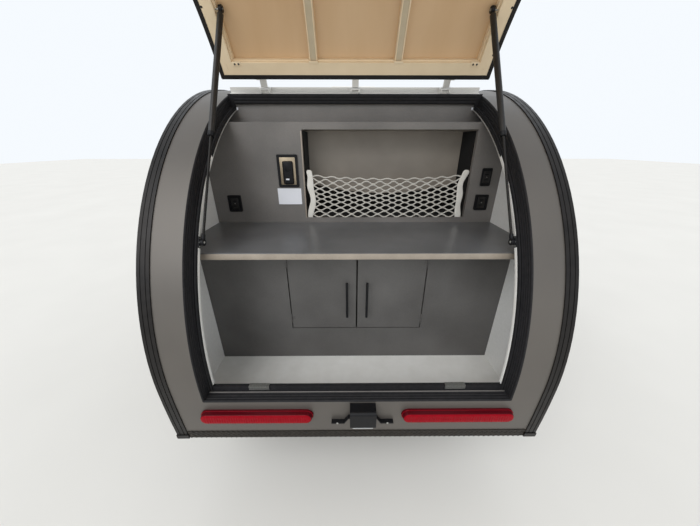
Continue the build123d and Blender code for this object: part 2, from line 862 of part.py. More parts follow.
with BuildPart() as cubby_box:
    cubby_centre = ((cubby_left + cubby_right) / 2, (cubby_bottom + cubby_top) / 2)
    cubby_width = cubby_right - cubby_left
    cubby_height = cubby_top - cubby_bottom
    with BuildSketch(back_plane(bulkhead_y + panel_thick)):
        with Locations(cubby_centre):
            Rectangle(cubby_width + 2 * cubby_wall, cubby_height + 2 * cubby_wall)
    extrude(amount=-(cubby_deep - panel_thick + cubby_wall))
    with BuildSketch(back_plane(bulkhead_y + panel_thick)):
        with Locations(cubby_centre):
            Rectangle(cubby_width, cubby_height)
    extrude(amount=-(cubby_deep - panel_thick), mode=Mode.SUBTRACT)
finish(cubby_box, "cubby_box")

with BuildPart() as galley_header:
    extrude(
        rectangle(side_plane(), bulkhead_y, header_y + panel_thick, shelf_top - panel_thick, shelf_top),
        amount=inner_half,
        both=True,
    )
    extrude(
        rectangle(side_plane(), header_y, header_y + panel_thick, shelf_top, roof_top),
        amount=inner_half,
        both=True,
    )
    extrude(
        band(side_plane(), (roof_tail_arc,), -roof_top, roof_wall + seat_gap),
        amount=half_width,
        both=True,
        mode=Mode.SUBTRACT,
    )
finish(galley_header, "galley_header")

# Counter and cabinet
with BuildPart() as counter:
    with BuildSketch(level_plane(counter_top)):
        with Locations((0, (counter_y + bulkhead_y) / 2)):
            Rectangle(2 * inner_half, bulkhead_y - counter_y)
    extrude(amount=-counter_thick)
    chamfer(edges().filter_by(Axis.X).group_by(Axis.Y)[0], length=counter_edge)
finish(counter, "counter")

with BuildPart() as cabinet_face:
    with BuildSketch(back_plane(cabinet_y)):
        with Locations((0, (floor_top + counter_top - counter_thick) / 2)):
            Rectangle(2 * inner_half, counter_top - counter_thick - floor_top)
        with Locations(((doorway_left + doorway_right) / 2, (doorway_bottom + doorway_top) / 2)):
            Rectangle(doorway_right - doorway_left, doorway_top - doorway_bottom, mode=Mode.SUBTRACT)
    extrude(amount=-panel_thick)
finish(cabinet_face, "cabinet_face")

doorway_mid = (doorway_left + doorway_right) / 2
leaf_width = (doorway_right - doorway_left - galley_meeting_gap - 2 * galley_door_gap) / 2
leaf_mid_z = (doorway_bottom + doorway_top) / 2
galley_levels = [doorway_bottom + share * (doorway_top - doorway_bottom) for share in galley_hinge_levels]
galley_third = galley_hinge_length / 3


def galley_knuckle(x, leaf_x):
    """Barrel of a cabinet hinge and its leaf on the face beside it, in the open sketch."""
    with Locations((x, cabinet_y - galley_hinge_out)):
        Circle(galley_hinge_radius)
    with Locations((leaf_x, cabinet_y - galley_hinge_leaf / 2)):
        Rectangle(galley_leaf_width, galley_hinge_leaf)
    reach = abs(leaf_x - x)
    with Locations(((x + leaf_x) / 2, cabinet_y - galley_hinge_leaf / 2)):
        Rectangle(reach, galley_hinge_leaf)


for side, word in ((-1, "left"), (1, "right")):
    with BuildPart() as galley_door:
        with BuildSketch(back_plane(cabinet_y)):
            with Locations((doorway_mid + side * (galley_meeting_gap + leaf_width) / 2, leaf_mid_z)):
                Rectangle(leaf_width, doorway_top - doorway_bottom - 2 * galley_door_gap)
        extrude(amount=-panel_thick)
    finish(galley_door, f"galley_door_{word}")

    pull_x = doorway_mid + side * (galley_meeting_gap / 2 + pull_from_edge)
    hinge_line_x = doorway_mid + side * (doorway_right - doorway_left - galley_door_gap) / 2
    moving_leaf_x = hinge_line_x - side * (galley_door_gap + galley_leaf_width) / 2
    with BuildPart() as galley_fittings:
        with BuildSketch(level_plane(pull_mid_z)):
            with Locations((pull_x, cabinet_y - pull_stand)):
                Circle(pull_radius)
        extrude(amount=pull_length / 2, both=True)
        with BuildSketch(back_plane(cabinet_y)):
            with Locations((pull_x, pull_mid_z - pull_span / 2), (pull_x, pull_mid_z + pull_span / 2)):
                Circle(pull_post_radius)
        extrude(amount=pull_stand)
        for level in galley_levels:
            with BuildSketch(level_plane(level)):
                galley_knuckle(hinge_line_x, moving_leaf_x)
                with Locations((hinge_line_x, cabinet_y - galley_hinge_out)):
                    Circle(galley_pin_radius, mode=Mode.SUBTRACT)
            extrude(amount=galley_third / 2 - pin_play, both=True)
    finish(galley_fittings, f"galley_fittings_{word}")

with BuildPart() as galley_hinges:
    for side in (-1, 1):
        hinge_line_x = doorway_mid + side * (doorway_right - doorway_left - galley_door_gap) / 2
        fixed_leaf_x = hinge_line_x + side * (galley_door_gap + galley_leaf_width) / 2
        for level in galley_levels:
            for step in (-1, 1):
                with BuildSketch(level_plane(level + step * galley_third)):
                    galley_knuckle(hinge_line_x, fixed_leaf_x)
                extrude(amount=galley_third / 2, both=True)
            with BuildSketch(level_plane(level)):
                with Locations((hinge_line_x, cabinet_y - galley_hinge_out)):
                    Circle(galley_pin_radius - pin_play)
            extrude(amount=galley_hinge_length / 2, both=True)
finish(galley_hinges, "galley_hinges")

# Plates on the backsplash, each with a recessed middle
with BuildPart() as galley_plates:
    for left, right, bottom, top in (power_panel, *outlet_rows):
        middle = ((left + right) / 2, (bottom + top) / 2)
        width, height = right - left, top - bottom
        with BuildSketch(back_plane(bulkhead_y)):
            with Locations(middle):
                RectangleRounded(width, height, plate_stand)
        extrude(amount=plate_stand)
        with BuildSketch(back_plane(bulkhead_y - plate_stand)):
            with Locations(middle):
                RectangleRounded(width - 2 * plate_border, height - 2 * plate_border, plate_recess)
        extrude(amount=-plate_recess, mode=Mode.SUBTRACT)
finish(galley_plates, "galley_plates")

# Cargo net across the cubby, a thin pad standing on its lower edge
with BuildPart() as cargo_net:
    with BuildSketch(back_plane(bulkhead_y + (panel_thick - net_thick) / 2)):
        with Locations(((net_left + net_right) / 2, (cubby_bottom + seat_gap + net_top) / 2)):
            Rectangle(net_right - net_left, net_top - cubby_bottom - seat_gap)
    extrude(amount=-net_thick)
finish(cargo_net, "cargo_net")

# Mattress on the cabin floor
mattress_rear_y = bulkhead_y + panel_thick + mattress_side_gap
mattress_length = mattress_front_y - mattress_rear_y
with BuildPart() as mattress:
    with BuildSketch(level_plane(floor_top + seat_gap)):
        with Locations((0, (mattress_rear_y + mattress_front_y) / 2)):
            RectangleRounded(2 * (inner_half - mattress_side_gap), mattress_length, mattress_corner)
    extrude(amount=mattress_thick)
finish(mattress, "mattress")

# Entry doors, their frames, windows and fittings
window_mid = (door_mid[0], door_bottom + door_height - window_top_margin - window_height / 2)
hinge_axis_x = half_width + door_stand + door_hinge_out
knuckle_foot_x = hinge_axis_x - door_hinge_out / 2
leaf_face_x = half_width + door_stand + hinge_leaf / 2
hinge_axis_y = door_y + door_width + door_gap / 2
hinge_levels = [door_bottom + share * door_height for share in door_hinge_levels]
knuckle_third = door_hinge_length / 3
fixed_leaf_width = door_frame + door_gap / 2 - door_hinge_radius - hinge_leaf_gap
frame_width = doorway_width + 2 * door_frame
frame_height = doorway_height + 2 * door_frame
fixed_leaf_mid = door_frame + door_gap / 2 - fixed_leaf_width / 2

with BuildPart() as door_frames:
    for side in (-1, 1):
        with BuildSketch(side_plane(side * half_width)):
            with Locations(door_mid):
                RectangleRounded(frame_width, frame_height, door_corner + door_gap + door_frame)
                RectangleRounded(doorway_width, doorway_height, door_corner + door_gap, mode=Mode.SUBTRACT)
        extrude(amount=side * door_stand)
        for level in hinge_levels:
            for step in (-1, 1):
                with BuildSketch(level_plane(level + step * knuckle_third)):
                    with Locations((side * hinge_axis_x, hinge_axis_y)):
                        Circle(door_hinge_radius)
                    with Locations((side * knuckle_foot_x, hinge_axis_y + door_hinge_radius / 2)):
                        Rectangle(door_hinge_out, door_hinge_radius)
                extrude(amount=knuckle_third / 2, both=True)
            with BuildSketch(level_plane(level)):
                with Locations((side * leaf_face_x, hinge_axis_y + fixed_leaf_mid)):
                    Rectangle(hinge_leaf, fixed_leaf_width)
                with Locations((side * hinge_axis_x, hinge_axis_y)):
                    Circle(door_pin_radius - pin_play)
            extrude(amount=door_hinge_length / 2, both=True)
finish(door_frames, "door_frames")

for side, word in ((-1, "left"), (1, "right")):
    inner_face = side_plane(side * inner_half)
    outer_face = side_plane(side * (half_width + door_stand))
    with BuildPart() as side_door:
        with BuildSketch(inner_face):
            with Locations(door_mid):
                RectangleRounded(door_width, door_height, door_corner)
            with Locations(window_mid):
                RectangleRounded(window_width, window_height, window_corner, mode=Mode.SUBTRACT)
        extrude(amount=side * (side_wall + door_stand))
    finish(side_door, f"side_door_{word}")

    with BuildPart() as window_glass:
        with BuildSketch(outer_face):
            with Locations(window_mid):
                RectangleRounded(
                    window_width - 2 * seat_gap,
                    window_height - 2 * seat_gap,
                    window_corner - seat_gap,
                )
        extrude(amount=-side * glass_thick)
    finish(window_glass, f"window_glass_{word}")

    with BuildPart() as door_fittings:
        with BuildSketch(outer_face):
            with Locations(window_mid):
                RectangleRounded(
                    window_width + 2 * window_frame,
                    window_height + 2 * window_frame,
                    window_corner + window_frame,
                )
                RectangleRounded(
                    window_width - 2 * window_lap,
                    window_height - 2 * window_lap,
                    window_corner - window_lap,
                    mode=Mode.SUBTRACT,
                )
        extrude(amount=side * window_stand)
        handle_mid = (door_y + handle_from_edge, door_mid[1] - handle_height / 2)
        with BuildSketch(outer_face):
            with Locations(handle_mid):
                RectangleRounded(handle_width, handle_height, handle_stand)
        extrude(amount=side * handle_stand)
        with BuildSketch(side_plane(side * (half_width + door_stand + handle_stand))):
            with Locations(handle_mid):
                RectangleRounded(
                    handle_width - 2 * handle_stand,
                    handle_height - 2 * handle_stand,
                    handle_recess,
                )
        extrude(amount=-side * handle_recess, mode=Mode.SUBTRACT)
        for level in hinge_levels:
            with BuildSketch(level_plane(level)):
                with Locations((side * hinge_axis_x, hinge_axis_y)):
                    Circle(door_hinge_radius)
                with Locations((side * knuckle_foot_x, hinge_axis_y - door_hinge_radius / 2)):
                    Rectangle(door_hinge_out, door_hinge_radius)
                with Locations((side * leaf_face_x, hinge_axis_y - (door_gap + door_frame) / 2)):
                    Rectangle(hinge_leaf, door_frame)
                with Locations((side * hinge_axis_x, hinge_axis_y)):
                    Circle(door_pin_radius, mode=Mode.SUBTRACT)
            extrude(amount=knuckle_third / 2 - pin_play, both=True)
    finish(door_fittings, f"door_fittings_{word}")



def vent_hinge_plane(x):
    """Plane across the vent's hinge line at a place along it."""
    corner = vent_plane(0).from_local_coords(Vector(x, vent_hinge_y, 0))
    return Plane(origin=corner, x_dir=vent_plane(0).y_dir, z_dir=(1, 0, 0))


# Roof vent: a flanged frame through the roof with a hinged dome
vent_lid_half = vent_size / 2 + vent_clear + vent_lid_thick
vent_crown_half = vent_lid_half * vent_lid_taper
vent_hinge_y = vent_lid_half + vent_hinge_radius + vent_hinge_gap
vent_hinge_rise = vent_rise - vent_lid_skirt / 2
tab_reach = vent_hinge_radius + vent_hinge_gap + vent_lid_thick / 2
with BuildPart() as vent_frame:
    with BuildSketch(vent_plane(-vent_flange_thick)):
        Rectangle(vent_size + 2 * vent_flange, vent_size + 2 * vent_flange)
        Rectangle(vent_size, vent_size, mode=Mode.SUBTRACT)
    extrude(amount=2 * vent_flange_thick)
    roof_cut = band(side_plane(), (roof_rear_arc,), 0, roof_wall)
    extrude(roof_cut, amount=inner_half, both=True, mode=Mode.SUBTRACT)
    with BuildSketch(vent_plane(-roof_wall - vent_flange_thick)):
        Rectangle(vent_size, vent_size)
        Rectangle(vent_size - 2 * vent_wall, vent_size - 2 * vent_wall, mode=Mode.SUBTRACT)
    extrude(amount=vent_rise + roof_wall + vent_flange_thick)
    for side in (-1, 1):
        ear = vent_hinge_plane(side * vent_hinge_x)
        with BuildSketch(ear):
            with Locations((0, vent_hinge_rise)):
                Circle(vent_hinge_radius)
            with Locations((0, vent_hinge_rise / 2)):
                Rectangle(2 * vent_hinge_radius, vent_hinge_rise)
        extrude(amount=vent_ear / 2, both=True)
        with BuildSketch(ear):
            with Locations((0, vent_hinge_rise)):
                Circle(vent_pin_radius - pin_play)
        extrude(amount=-side * (vent_ear / 2 + vent_tab))
finish(vent_frame, "vent_frame")

with BuildPart() as vent_lid:
    with BuildSketch(vent_plane(vent_rise + vent_clear + vent_lid_thick - vent_lid_skirt)):
        RectangleRounded(2 * vent_lid_half, 2 * vent_lid_half, vent_lid_corner)
    extrude(amount=vent_lid_skirt)
    with BuildSketch(vent_plane(vent_rise + vent_clear + vent_lid_thick)):
        RectangleRounded(2 * vent_lid_half, 2 * vent_lid_half, vent_lid_corner)
    with BuildSketch(vent_plane(vent_rise + vent_clear + vent_lid_thick + vent_lid_crown)):
        RectangleRounded(2 * vent_crown_half, 2 * vent_crown_half, vent_lid_corner)
    loft()
    vent_up = vent_plane(0).z_dir
    underside = faces().sort_by(Axis(origin=(0, 0, 0), direction=vent_up))[0]
    offset(amount=-vent_lid_thick, openings=underside)
    for side in (-1, 1):
        with BuildSketch(vent_hinge_plane(side * (vent_hinge_x - vent_ear / 2 - vent_ear_play))):
            with Locations((0, vent_hinge_rise)):
                Circle(vent_hinge_radius)
            with Locations((-tab_reach / 2, vent_hinge_rise + vent_hinge_radius / 2)):
                Rectangle(tab_reach, vent_hinge_radius)
            with Locations((0, vent_hinge_rise)):
                Circle(vent_pin_radius, mode=Mode.SUBTRACT)
        extrude(amount=-side * (vent_tab - 2 * vent_ear_play))
finish(vent_lid, "vent_lid")

# Side marker lamps
with BuildPart() as marker_lamps:
    for side in (-1, 1):
        with BuildSketch(side_plane(side * half_width)):
            with Locations(*marker_rows):
                SlotOverall(marker_length, marker_height)
        extrude(amount=side * marker_stand, taper=marker_taper)
finish(marker_lamps, "marker_lamps")

# Chassis: rails, cross members and the tongue under them
with BuildPart() as frame_rails:
    for x in (-rail_x, rail_x):
        with BuildSketch(level_plane(floor_bottom)):
            with Locations((x, (rail_rear_y + rail_front_y) / 2)):
                Rectangle(rail_width, rail_front_y - rail_rear_y)
        extrude(amount=-rail_height)
finish(frame_rails, "frame_rails")

with BuildPart() as cross_members:
    for y in cross_rows:
        with BuildSketch(level_plane(floor_bottom)):
            with Locations((0, y)):
                Rectangle(2 * rail_x - rail_width, cross_width)
        extrude(amount=-cross_height)
finish(cross_members, "cross_members")

tongue_top = floor_bottom - rail_height
half_plan = rail_width / 2 * sqrt(1 + (tongue_spread / tongue_length) ** 2)
with BuildPart() as tongue_beams:
    for side in (-1, 1):
        with BuildSketch(level_plane(tongue_top)):
            with BuildLine():
                Polyline(
                    (side * (rail_x - half_plan), tongue_rear_y),
                    (side * (rail_x + half_plan), tongue_rear_y),
                    (side * (tongue_apex_half + half_plan), apex_y),
                    (side * (tongue_apex_half - half_plan), apex_y),
                    close=True,
                )
            make_face()
        extrude(amount=-rail_height)
finish(tongue_beams, "tongue_beams")


def tongue_half(y):
    """Half spread of the tongue beams' centre lines at a place along the trailer."""
    return tongue_apex_half + (apex_y - y) * tongue_spread / tongue_length


with BuildPart() as jack_plate:
    with BuildSketch(level_plane(tongue_top)):
        with BuildLine():
            Polyline(
                (-tongue_half(plate_rear_y), plate_rear_y),
                (tongue_half(plate_rear_y), plate_rear_y),
                (tongue_half(plate_front_y), plate_front_y),
                (-tongue_half(plate_front_y), plate_front_y),
                close=True,
            )
        make_face()
        with Locations((0, jack_y)):
            Circle(jack_tube_radius + seat_gap, mode=Mode.SUBTRACT)
    extrude(amount=plate_thick)
finish(jack_plate, "jack_plate")

# Coupler: a plate over the beams' tips and a head with the ball socket
head_radius = coupler_socket + coupler_wall
head_bottom = tongue_top - coupler_drop
lever_foot = tongue_top + coupler_crown - lever_root
with BuildPart() as coupler:
    with BuildSketch(level_plane(tongue_top)):
        with BuildLine():
            Polyline(
                (-tongue_half(plate_front_y) + half_plan, plate_front_y + coupler_plate_gap),
                (tongue_half(plate_front_y) - half_plan, plate_front_y + coupler_plate_gap),
                (tongue_apex_half, apex_y),
                (head_radius, coupler_y),
                (-head_radius, coupler_y),
                (-tongue_apex_half, apex_y),
                close=True,
            )
        make_face()
    extrude(amount=plate_thick)
    with BuildSketch(level_plane(tongue_top)):
        with Locations((0, (apex_y + coupler_y) / 2)):
            Rectangle(2 * coupler_wall + coupler_socket, coupler_y - apex_y + coupler_socket)
    extrude(amount=coupler_crown)
    with BuildSketch(level_plane(head_bottom)):
        with Locations((0, coupler_y)):
            Circle(head_radius)
    extrude(amount=coupler_drop + coupler_crown)
    with Locations((0, tail_y + coupler_y, body_z + tongue_top + coupler_crown)):
        Sphere(head_radius, arc_size1=0)
    with BuildSketch(level_plane(head_bottom)):
        with Locations((0, coupler_y)):
            Circle(coupler_socket)
    extrude(amount=coupler_drop + coupler_crown, mode=Mode.SUBTRACT)
    with Locations((0, tail_y + coupler_y, body_z + tongue_top + coupler_crown)):
        Sphere(coupler_socket, mode=Mode.SUBTRACT)
    with BuildSketch(side_plane()):
        with BuildLine():
            Polyline(
                (coupler_y - coupler_lever, lever_foot),
                (coupler_y - coupler_lever, lever_foot + lever_thick),
                (coupler_y - 2 * coupler_lever, lever_foot + lever_rise),
                (coupler_y - 2 * coupler_lever - lever_thick, lever_foot + lever_rise),
                (coupler_y - coupler_lever - 2 * lever_thick, lever_foot),
                close=True,
            )
        make_face()
    extrude(amount=lever_thick, both=True)
finish(coupler, "coupler")

# Tongue jack: outer tube with its flange, head and crank, and the leg with its foot
with BuildPart() as jack_tube:
    with BuildSketch(Plane(origin=(0, tail_y + jack_y, jack_tube_bottom))):
        Circle(jack_tube_radius)
    extrude(amount=jack_tube_top - jack_tube_bottom)
    with BuildSketch(level_plane(tongue_top + plate_thick)):
        with Locations((0, jack_y)):
            Circle(jack_flange_radius)
    extrude(amount=jack_flange)
    with BuildSketch(Plane(origin=(0, tail_y + jack_y, jack_tube_top))):
        Circle(jack_tube_radius + jack_tube_wall)
    extrude(amount=jack_head)
    fillet(edges().group_by(Axis.Z)[-1], radius=jack_tube_wall)
    with BuildSketch(Plane(origin=(0, tail_y + jack_y, jack_tube_bottom))):
        Circle(jack_leg_radius + jack_leg_play)
    extrude(amount=jack_leg_top + jack_travel + jack_top_clear - jack_tube_bottom, mode=Mode.SUBTRACT)
    crank_z = jack_tube_top + jack_head / 2 - body_z
    with BuildSketch(side_plane()):
        with Locations((jack_y, crank_z)):
            Circle(jack_crank_radius)
    extrude(amount=jack_flange_radius)
    with BuildSketch(side_plane(jack_flange_radius)):
        with Locations((jack_y, crank_z - jack_crank / 2)):
            SlotCenterToCenter(jack_crank, jack_crank_flat, rotation=90)
    extrude(amount=jack_crank_radius)
    with BuildSketch(side_plane(jack_flange_radius)):
        with Locations((jack_y, crank_z - jack_crank)):
            Circle(jack_grip_radius)
    extrude(amount=jack_crank / 2)
finish(jack_tube, "jack_tube")

with BuildPart() as jack_leg:
    with BuildSketch(Plane(origin=(0, tail_y + jack_y, 0))):
        Circle(jack_foot_radius)
    extrude(amount=jack_foot_thick)
    with BuildSketch(Plane(origin=(0, tail_y + jack_y, jack_foot_thick))):
        Circle(jack_foot_cup)
    extrude(amount=jack_foot_cup, taper=jack_foot_taper)
    with BuildSketch(Plane(origin=(0, tail_y + jack_y, jack_foot_thick))):
        Circle(jack_leg_radius)
    extrude(amount=jack_leg_top - jack_foot_thick)
finish(jack_leg, "jack_leg")

# Axle: a square tube under the rails, trailing arms and the spindles
beam_z = tongue_top - axle_tube / 2
spindle_z = wheel_radius - body_z
beam_y = axle_y + sqrt(arm_length**2 - (beam_z - spindle_z) ** 2)
with BuildPart() as axle_beam:
    with BuildSketch(side_plane()):
        with Locations((beam_y, beam_z)):
            Rectangle(axle_tube, axle_tube)
    extrude(amount=axle_half, both=True)
finish(axle_beam, "axle_beam")

with BuildPart() as axle_arms:
    for side in (-1, 1):
        with BuildSketch(side_plane(side * axle_half)):
            with Locations((beam_y, beam_z)):
                Circle(arm_radius)
            with Locations((axle_y, spindle_z)):
                Circle(arm_end_radius)
            make_hull()
        extrude(amount=side * arm_width)
        with BuildSketch(side_plane(side * axle_half)):
            with Locations((axle_y, spindle_z)):
                Circle(spindle_radius)
        extrude(amount=side * (wheel_x - axle_half + disc_offset))
finish(axle_arms, "axle_arms")

# Wheels: a spoked rim with its hub, and the tyre
for side, word in ((-1, "left"), (1, "right")):
    wheel = Plane(origin=(side * wheel_x, tail_y + axle_y, wheel_radius), x_dir=(0, 1, 0), z_dir=(side, 0, 0))
    section = Plane(origin=wheel.origin, x_dir=wheel.z_dir, z_dir=wheel.x_dir)
    axis = Axis(origin=wheel.origin, direction=wheel.z_dir)
    with BuildPart() as rim:
        with BuildSketch(section):
            with BuildLine():
                Polyline(
                    (-rim_half, rim_radius - rim_wall),
                    (-rim_half, rim_radius + rim_flange),
                    (-bead_half, rim_radius + rim_flange),
                    (-bead_half, rim_radius),
                    (bead_half, rim_radius),
                    (bead_half, rim_radius + rim_flange),
                    (rim_half, rim_radius + rim_flange),
                    (rim_half, rim_radius - rim_wall),
                    close=True,
                )
            make_face()
        revolve(axis=axis)
        with BuildSketch(section):
            with BuildLine():
                Polyline(
                    (disc_offset, spindle_radius),
                    (disc_offset, rim_radius - rim_wall / 2),
                    (disc_offset + disc_thick, rim_radius - rim_wall / 2),
                    (disc_offset + 2 * disc_thick, lug_circle + 2 * lug_radius),
                    (disc_offset + 2 * disc_thick, spindle_radius),
                    close=True,
                )
            make_face()
        revolve(axis=axis)
        with BuildSketch(wheel.offset(disc_offset - cut_past)):
            with PolarLocations((window_inner + window_outer) / 2, spoke_count):
                RectangleRounded(window_outer - window_inner, spoke_window, window_fillet)
        extrude(amount=2 * (disc_thick + cut_past), mode=Mode.SUBTRACT)
        with BuildSketch(wheel.offset(disc_offset)):
            Circle(hub_radius)
        extrude(amount=-hub_length)
        with BuildSketch(wheel.offset(disc_offset + 2 * disc_thick)):
            Circle(hub_radius - lug_radius)
        extrude(amount=hub_cap, taper=hub_cap_taper)
        with BuildSketch(wheel.offset(disc_offset + 2 * disc_thick)):
            with PolarLocations(lug_circle, lug_count):
                RegularPolygon(lug_radius, 6)
        extrude(amount=2 * lug_radius)
        with BuildSketch(wheel.offset(disc_offset - hub_length)):
            Circle(spindle_radius + spindle_play)
        extrude(amount=hub_length + cut_past, mode=Mode.SUBTRACT)
    finish(rim, f"rim_{word}")

    with BuildPart() as tyre:
        with BuildSketch(section):
            with BuildLine():
                Polyline(
                    (-bead_half + seat_gap, rim_radius + seat_gap),
                    (-bead_half + seat_gap, rim_radius + rim_flange + bead_rise),
                    (-tyre_width / 2, rim_radius + tyre_bulge),
                    (-tyre_width / 2, wheel_radius - tyre_shoulder - tyre_flat),
                    (-tyre_width / 2 + tyre_turn, wheel_radius - tyre_shoulder / 2),
                    (-tyre_width / 2 + tyre_shoulder / 2, wheel_radius),
                    (tyre_width / 2 - tyre_shoulder / 2, wheel_radius),
                    (tyre_width / 2 - tyre_turn, wheel_radius - tyre_shoulder / 2),
                    (tyre_width / 2, wheel_radius - tyre_shoulder - tyre_flat),
                    (tyre_width / 2, rim_radius + tyre_bulge),
                    (bead_half - seat_gap, rim_radius + rim_flange + bead_rise),
                    (bead_half - seat_gap, rim_radius + seat_gap),
                    close=True,
                )
            make_face()
        revolve(axis=axis)
    finish(tyre, f"tyre_{word}")

# Fenders: bent plate over each wheel, with a rolled lip along its outer edge
fender_slope = atan2(fender_rise - fender_foot_rise, fender_half_foot - fender_half_top)


def fender_corners(deep):
    """Corners of the fender's bent line, moved a depth towards the wheel."""
    half_top = fender_half_top - deep * sin(fender_slope / 2) / cos(fender_slope / 2)
    half_foot = fender_half_foot - deep / sin(fender_slope)
    return (
        (axle_y - half_foot, spindle_z + fender_foot_rise),
        (axle_y - half_top, spindle_z + fender_rise - deep),
        (axle_y + half_top, spindle_z + fender_rise - deep),
        (axle_y + half_foot, spindle_z + fender_foot_rise),
    )


def fender_face(x, deep):
    """Face along the fender's bent line, a depth thick towards the wheel."""
    with BuildSketch(side_plane(x)) as face:
        for depth, mode in ((0, Mode.ADD), (deep, Mode.SUBTRACT)):
            corners = fender_corners(depth)
            with BuildLine():
                FilletPolyline(*corners, radius=fender_corner - depth)
                Line(corners[-1], corners[0])
            make_face(mode=mode)
    return face.sketch


with BuildPart() as fenders:
    for side in (-1, 1):
        extrude(fender_face(side * half_width, fender_thick), amount=side * fender_width)
        extrude(fender_face(side * (half_width + fender_width), fender_lip), amount=-side * fender_thick)
finish(fenders, "fenders")
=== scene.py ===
from math import asin, pi, radians

import bmesh
import bpy
import numpy as np
from mathutils import Euler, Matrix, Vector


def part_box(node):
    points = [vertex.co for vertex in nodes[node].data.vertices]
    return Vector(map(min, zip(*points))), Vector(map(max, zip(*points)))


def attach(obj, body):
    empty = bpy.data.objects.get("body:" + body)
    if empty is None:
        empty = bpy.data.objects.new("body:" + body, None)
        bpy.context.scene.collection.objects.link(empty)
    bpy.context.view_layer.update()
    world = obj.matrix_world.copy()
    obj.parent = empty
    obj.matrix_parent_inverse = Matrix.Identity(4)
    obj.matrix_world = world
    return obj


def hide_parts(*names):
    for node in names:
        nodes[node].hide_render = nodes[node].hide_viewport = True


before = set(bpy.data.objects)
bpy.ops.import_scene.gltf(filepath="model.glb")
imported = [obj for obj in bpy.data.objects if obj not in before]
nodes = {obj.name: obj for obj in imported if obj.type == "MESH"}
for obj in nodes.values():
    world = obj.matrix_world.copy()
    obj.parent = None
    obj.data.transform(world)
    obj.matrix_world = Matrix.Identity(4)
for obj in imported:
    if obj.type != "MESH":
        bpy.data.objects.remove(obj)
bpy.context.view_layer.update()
MM = 0.001
ACROSS, AHEAD, UP = np.eye(3)
SIDES = ((-1, "left"), (1, "right"))

# Sizes of the body shell in metres, as the frame's source has them
HALF_WIDTH = 0.750
OPENING_HALF = 0.598
APRON_TOP = 0.652
SILL_TOP = 0.682
TAIL_Y = -1.735
BODY_Z = 0.430
LEVEL_Z = 0.710
TAIL_RADIUS = 1.125
TUCK_RADIUS = 4.300
TAIL_CENTRE_Y = TAIL_Y + TAIL_RADIUS
TUCK_CENTRE_Y = TAIL_Y + TUCK_RADIUS
SKIN_TOP_ANGLE = 70.3

# The hatch: its half width, its ends along the skin, its hinge pin and how far it stands open
HATCH_HALF = 0.587
HATCH_BOTTOM = 0.660
HATCH_TOP_ANGLE = 68.5
HATCH_RAIL = 0.038
HATCH_THICK = 0.036
HINGE_ANGLE = 71.4
HINGE_RISE = 0.023
HATCH_OPEN = 84
HINGE_Y = TAIL_CENTRE_Y - (TAIL_RADIUS + HINGE_RISE) * np.cos(radians(HINGE_ANGLE))
HINGE_Z = LEVEL_Z + (TAIL_RADIUS + HINGE_RISE) * np.sin(radians(HINGE_ANGLE))


def linear(hex_colour):
    """Linear RGBA of an sRGB hex colour, by the sRGB curve."""
    channels = [int(hex_colour[i : i + 2], 16) / 255 for i in (0, 2, 4)]
    return [c / 12.92 if c <= 0.04045 else ((c + 0.055) / 1.055) ** 2.4 for c in channels] + [1.0]


# Geometry helpers: every surface is a grid of points worked out from two parameters


def quads(rows, columns, wrap_rows=False, wrap_columns=False, start=0):
    """Quads between neighbouring points of a grid of rows by columns."""
    row = np.arange(rows if wrap_rows else rows - 1)[:, None]
    column = np.arange(columns if wrap_columns else columns - 1)[None, :]
    below, beside = (row + 1) % rows, (column + 1) % columns
    corners = (
        row * columns + column,
        row * columns + beside,
        below * columns + beside,
        below * columns + column,
    )
    return np.stack(corners, -1).reshape(-1, 4) + start


def sheet(grid, wrap_rows=False, wrap_columns=False, ends=False):
    """A grid (rows, columns, 3) as points and faces; ends closes its first and last rows with a face each."""
    rows, columns = grid.shape[:2]
    faces = [list(face) for face in quads(rows, columns, wrap_rows, wrap_columns)]
    if ends:
        faces += [list(range(columns))[::-1], [(rows - 1) * columns + i for i in range(columns)]]
    return grid.reshape(-1, 3), faces


def joined(*parts):
    """Several (points, faces) as one."""
    points, faces, start = [], [], 0
    for part_points, part_faces in parts:
        points.append(part_points)
        faces += [[i + start for i in face] for face in part_faces]
        start += len(part_points)
    return np.concatenate(points), faces


def slab(outer, thick):
    """A closed plate: a grid (rows, columns, 3) and the same grid moved by thick, joined round its rim."""
    rows, columns = outer.shape[:2]
    inner = outer + thick
    points = np.concatenate([outer.reshape(-1, 3), inner.reshape(-1, 3)])
    count = rows * columns
    index = np.arange(count).reshape(rows, columns)
    rim = np.concatenate([index[0, :-1], index[:-1, -1], index[-1, :0:-1], index[:0:-1, 0]])
    after = np.roll(rim, -1)
    top = quads(rows, columns)
    sides = np.stack([rim, rim + count, after + count, after], -1)
    return points, [list(f) for f in np.concatenate([top, top[:, ::-1] + count, sides])]


def tube(path, radius, sides=8, up=(0, 0, 1), closed=False):
    """Tube: P = path + radius (cos v S + sin v N), with S and N square to the path."""
    path = np.asarray(path, float)
    step = np.roll(path, -1, 0) - np.roll(path, 1, 0) if closed else np.gradient(path, axis=0)
    ahead = step / np.linalg.norm(step, axis=1, keepdims=True)
    side = np.cross(ahead, np.asarray(up, float))
    side /= np.linalg.norm(side, axis=1, keepdims=True)
    rise = np.cross(side, ahead)
    turn = np.linspace(0, 2 * pi, sides, endpoint=False)
    radius = np.broadcast_to(np.asarray(radius, float), (len(path),))[:, None, None]
    ring = np.cos(turn)[None, :, None] * side[:, None] + np.sin(turn)[None, :, None] * rise[:, None]
    return sheet(path[:, None] + radius * ring, wrap_rows=closed, wrap_columns=True, ends=not closed)


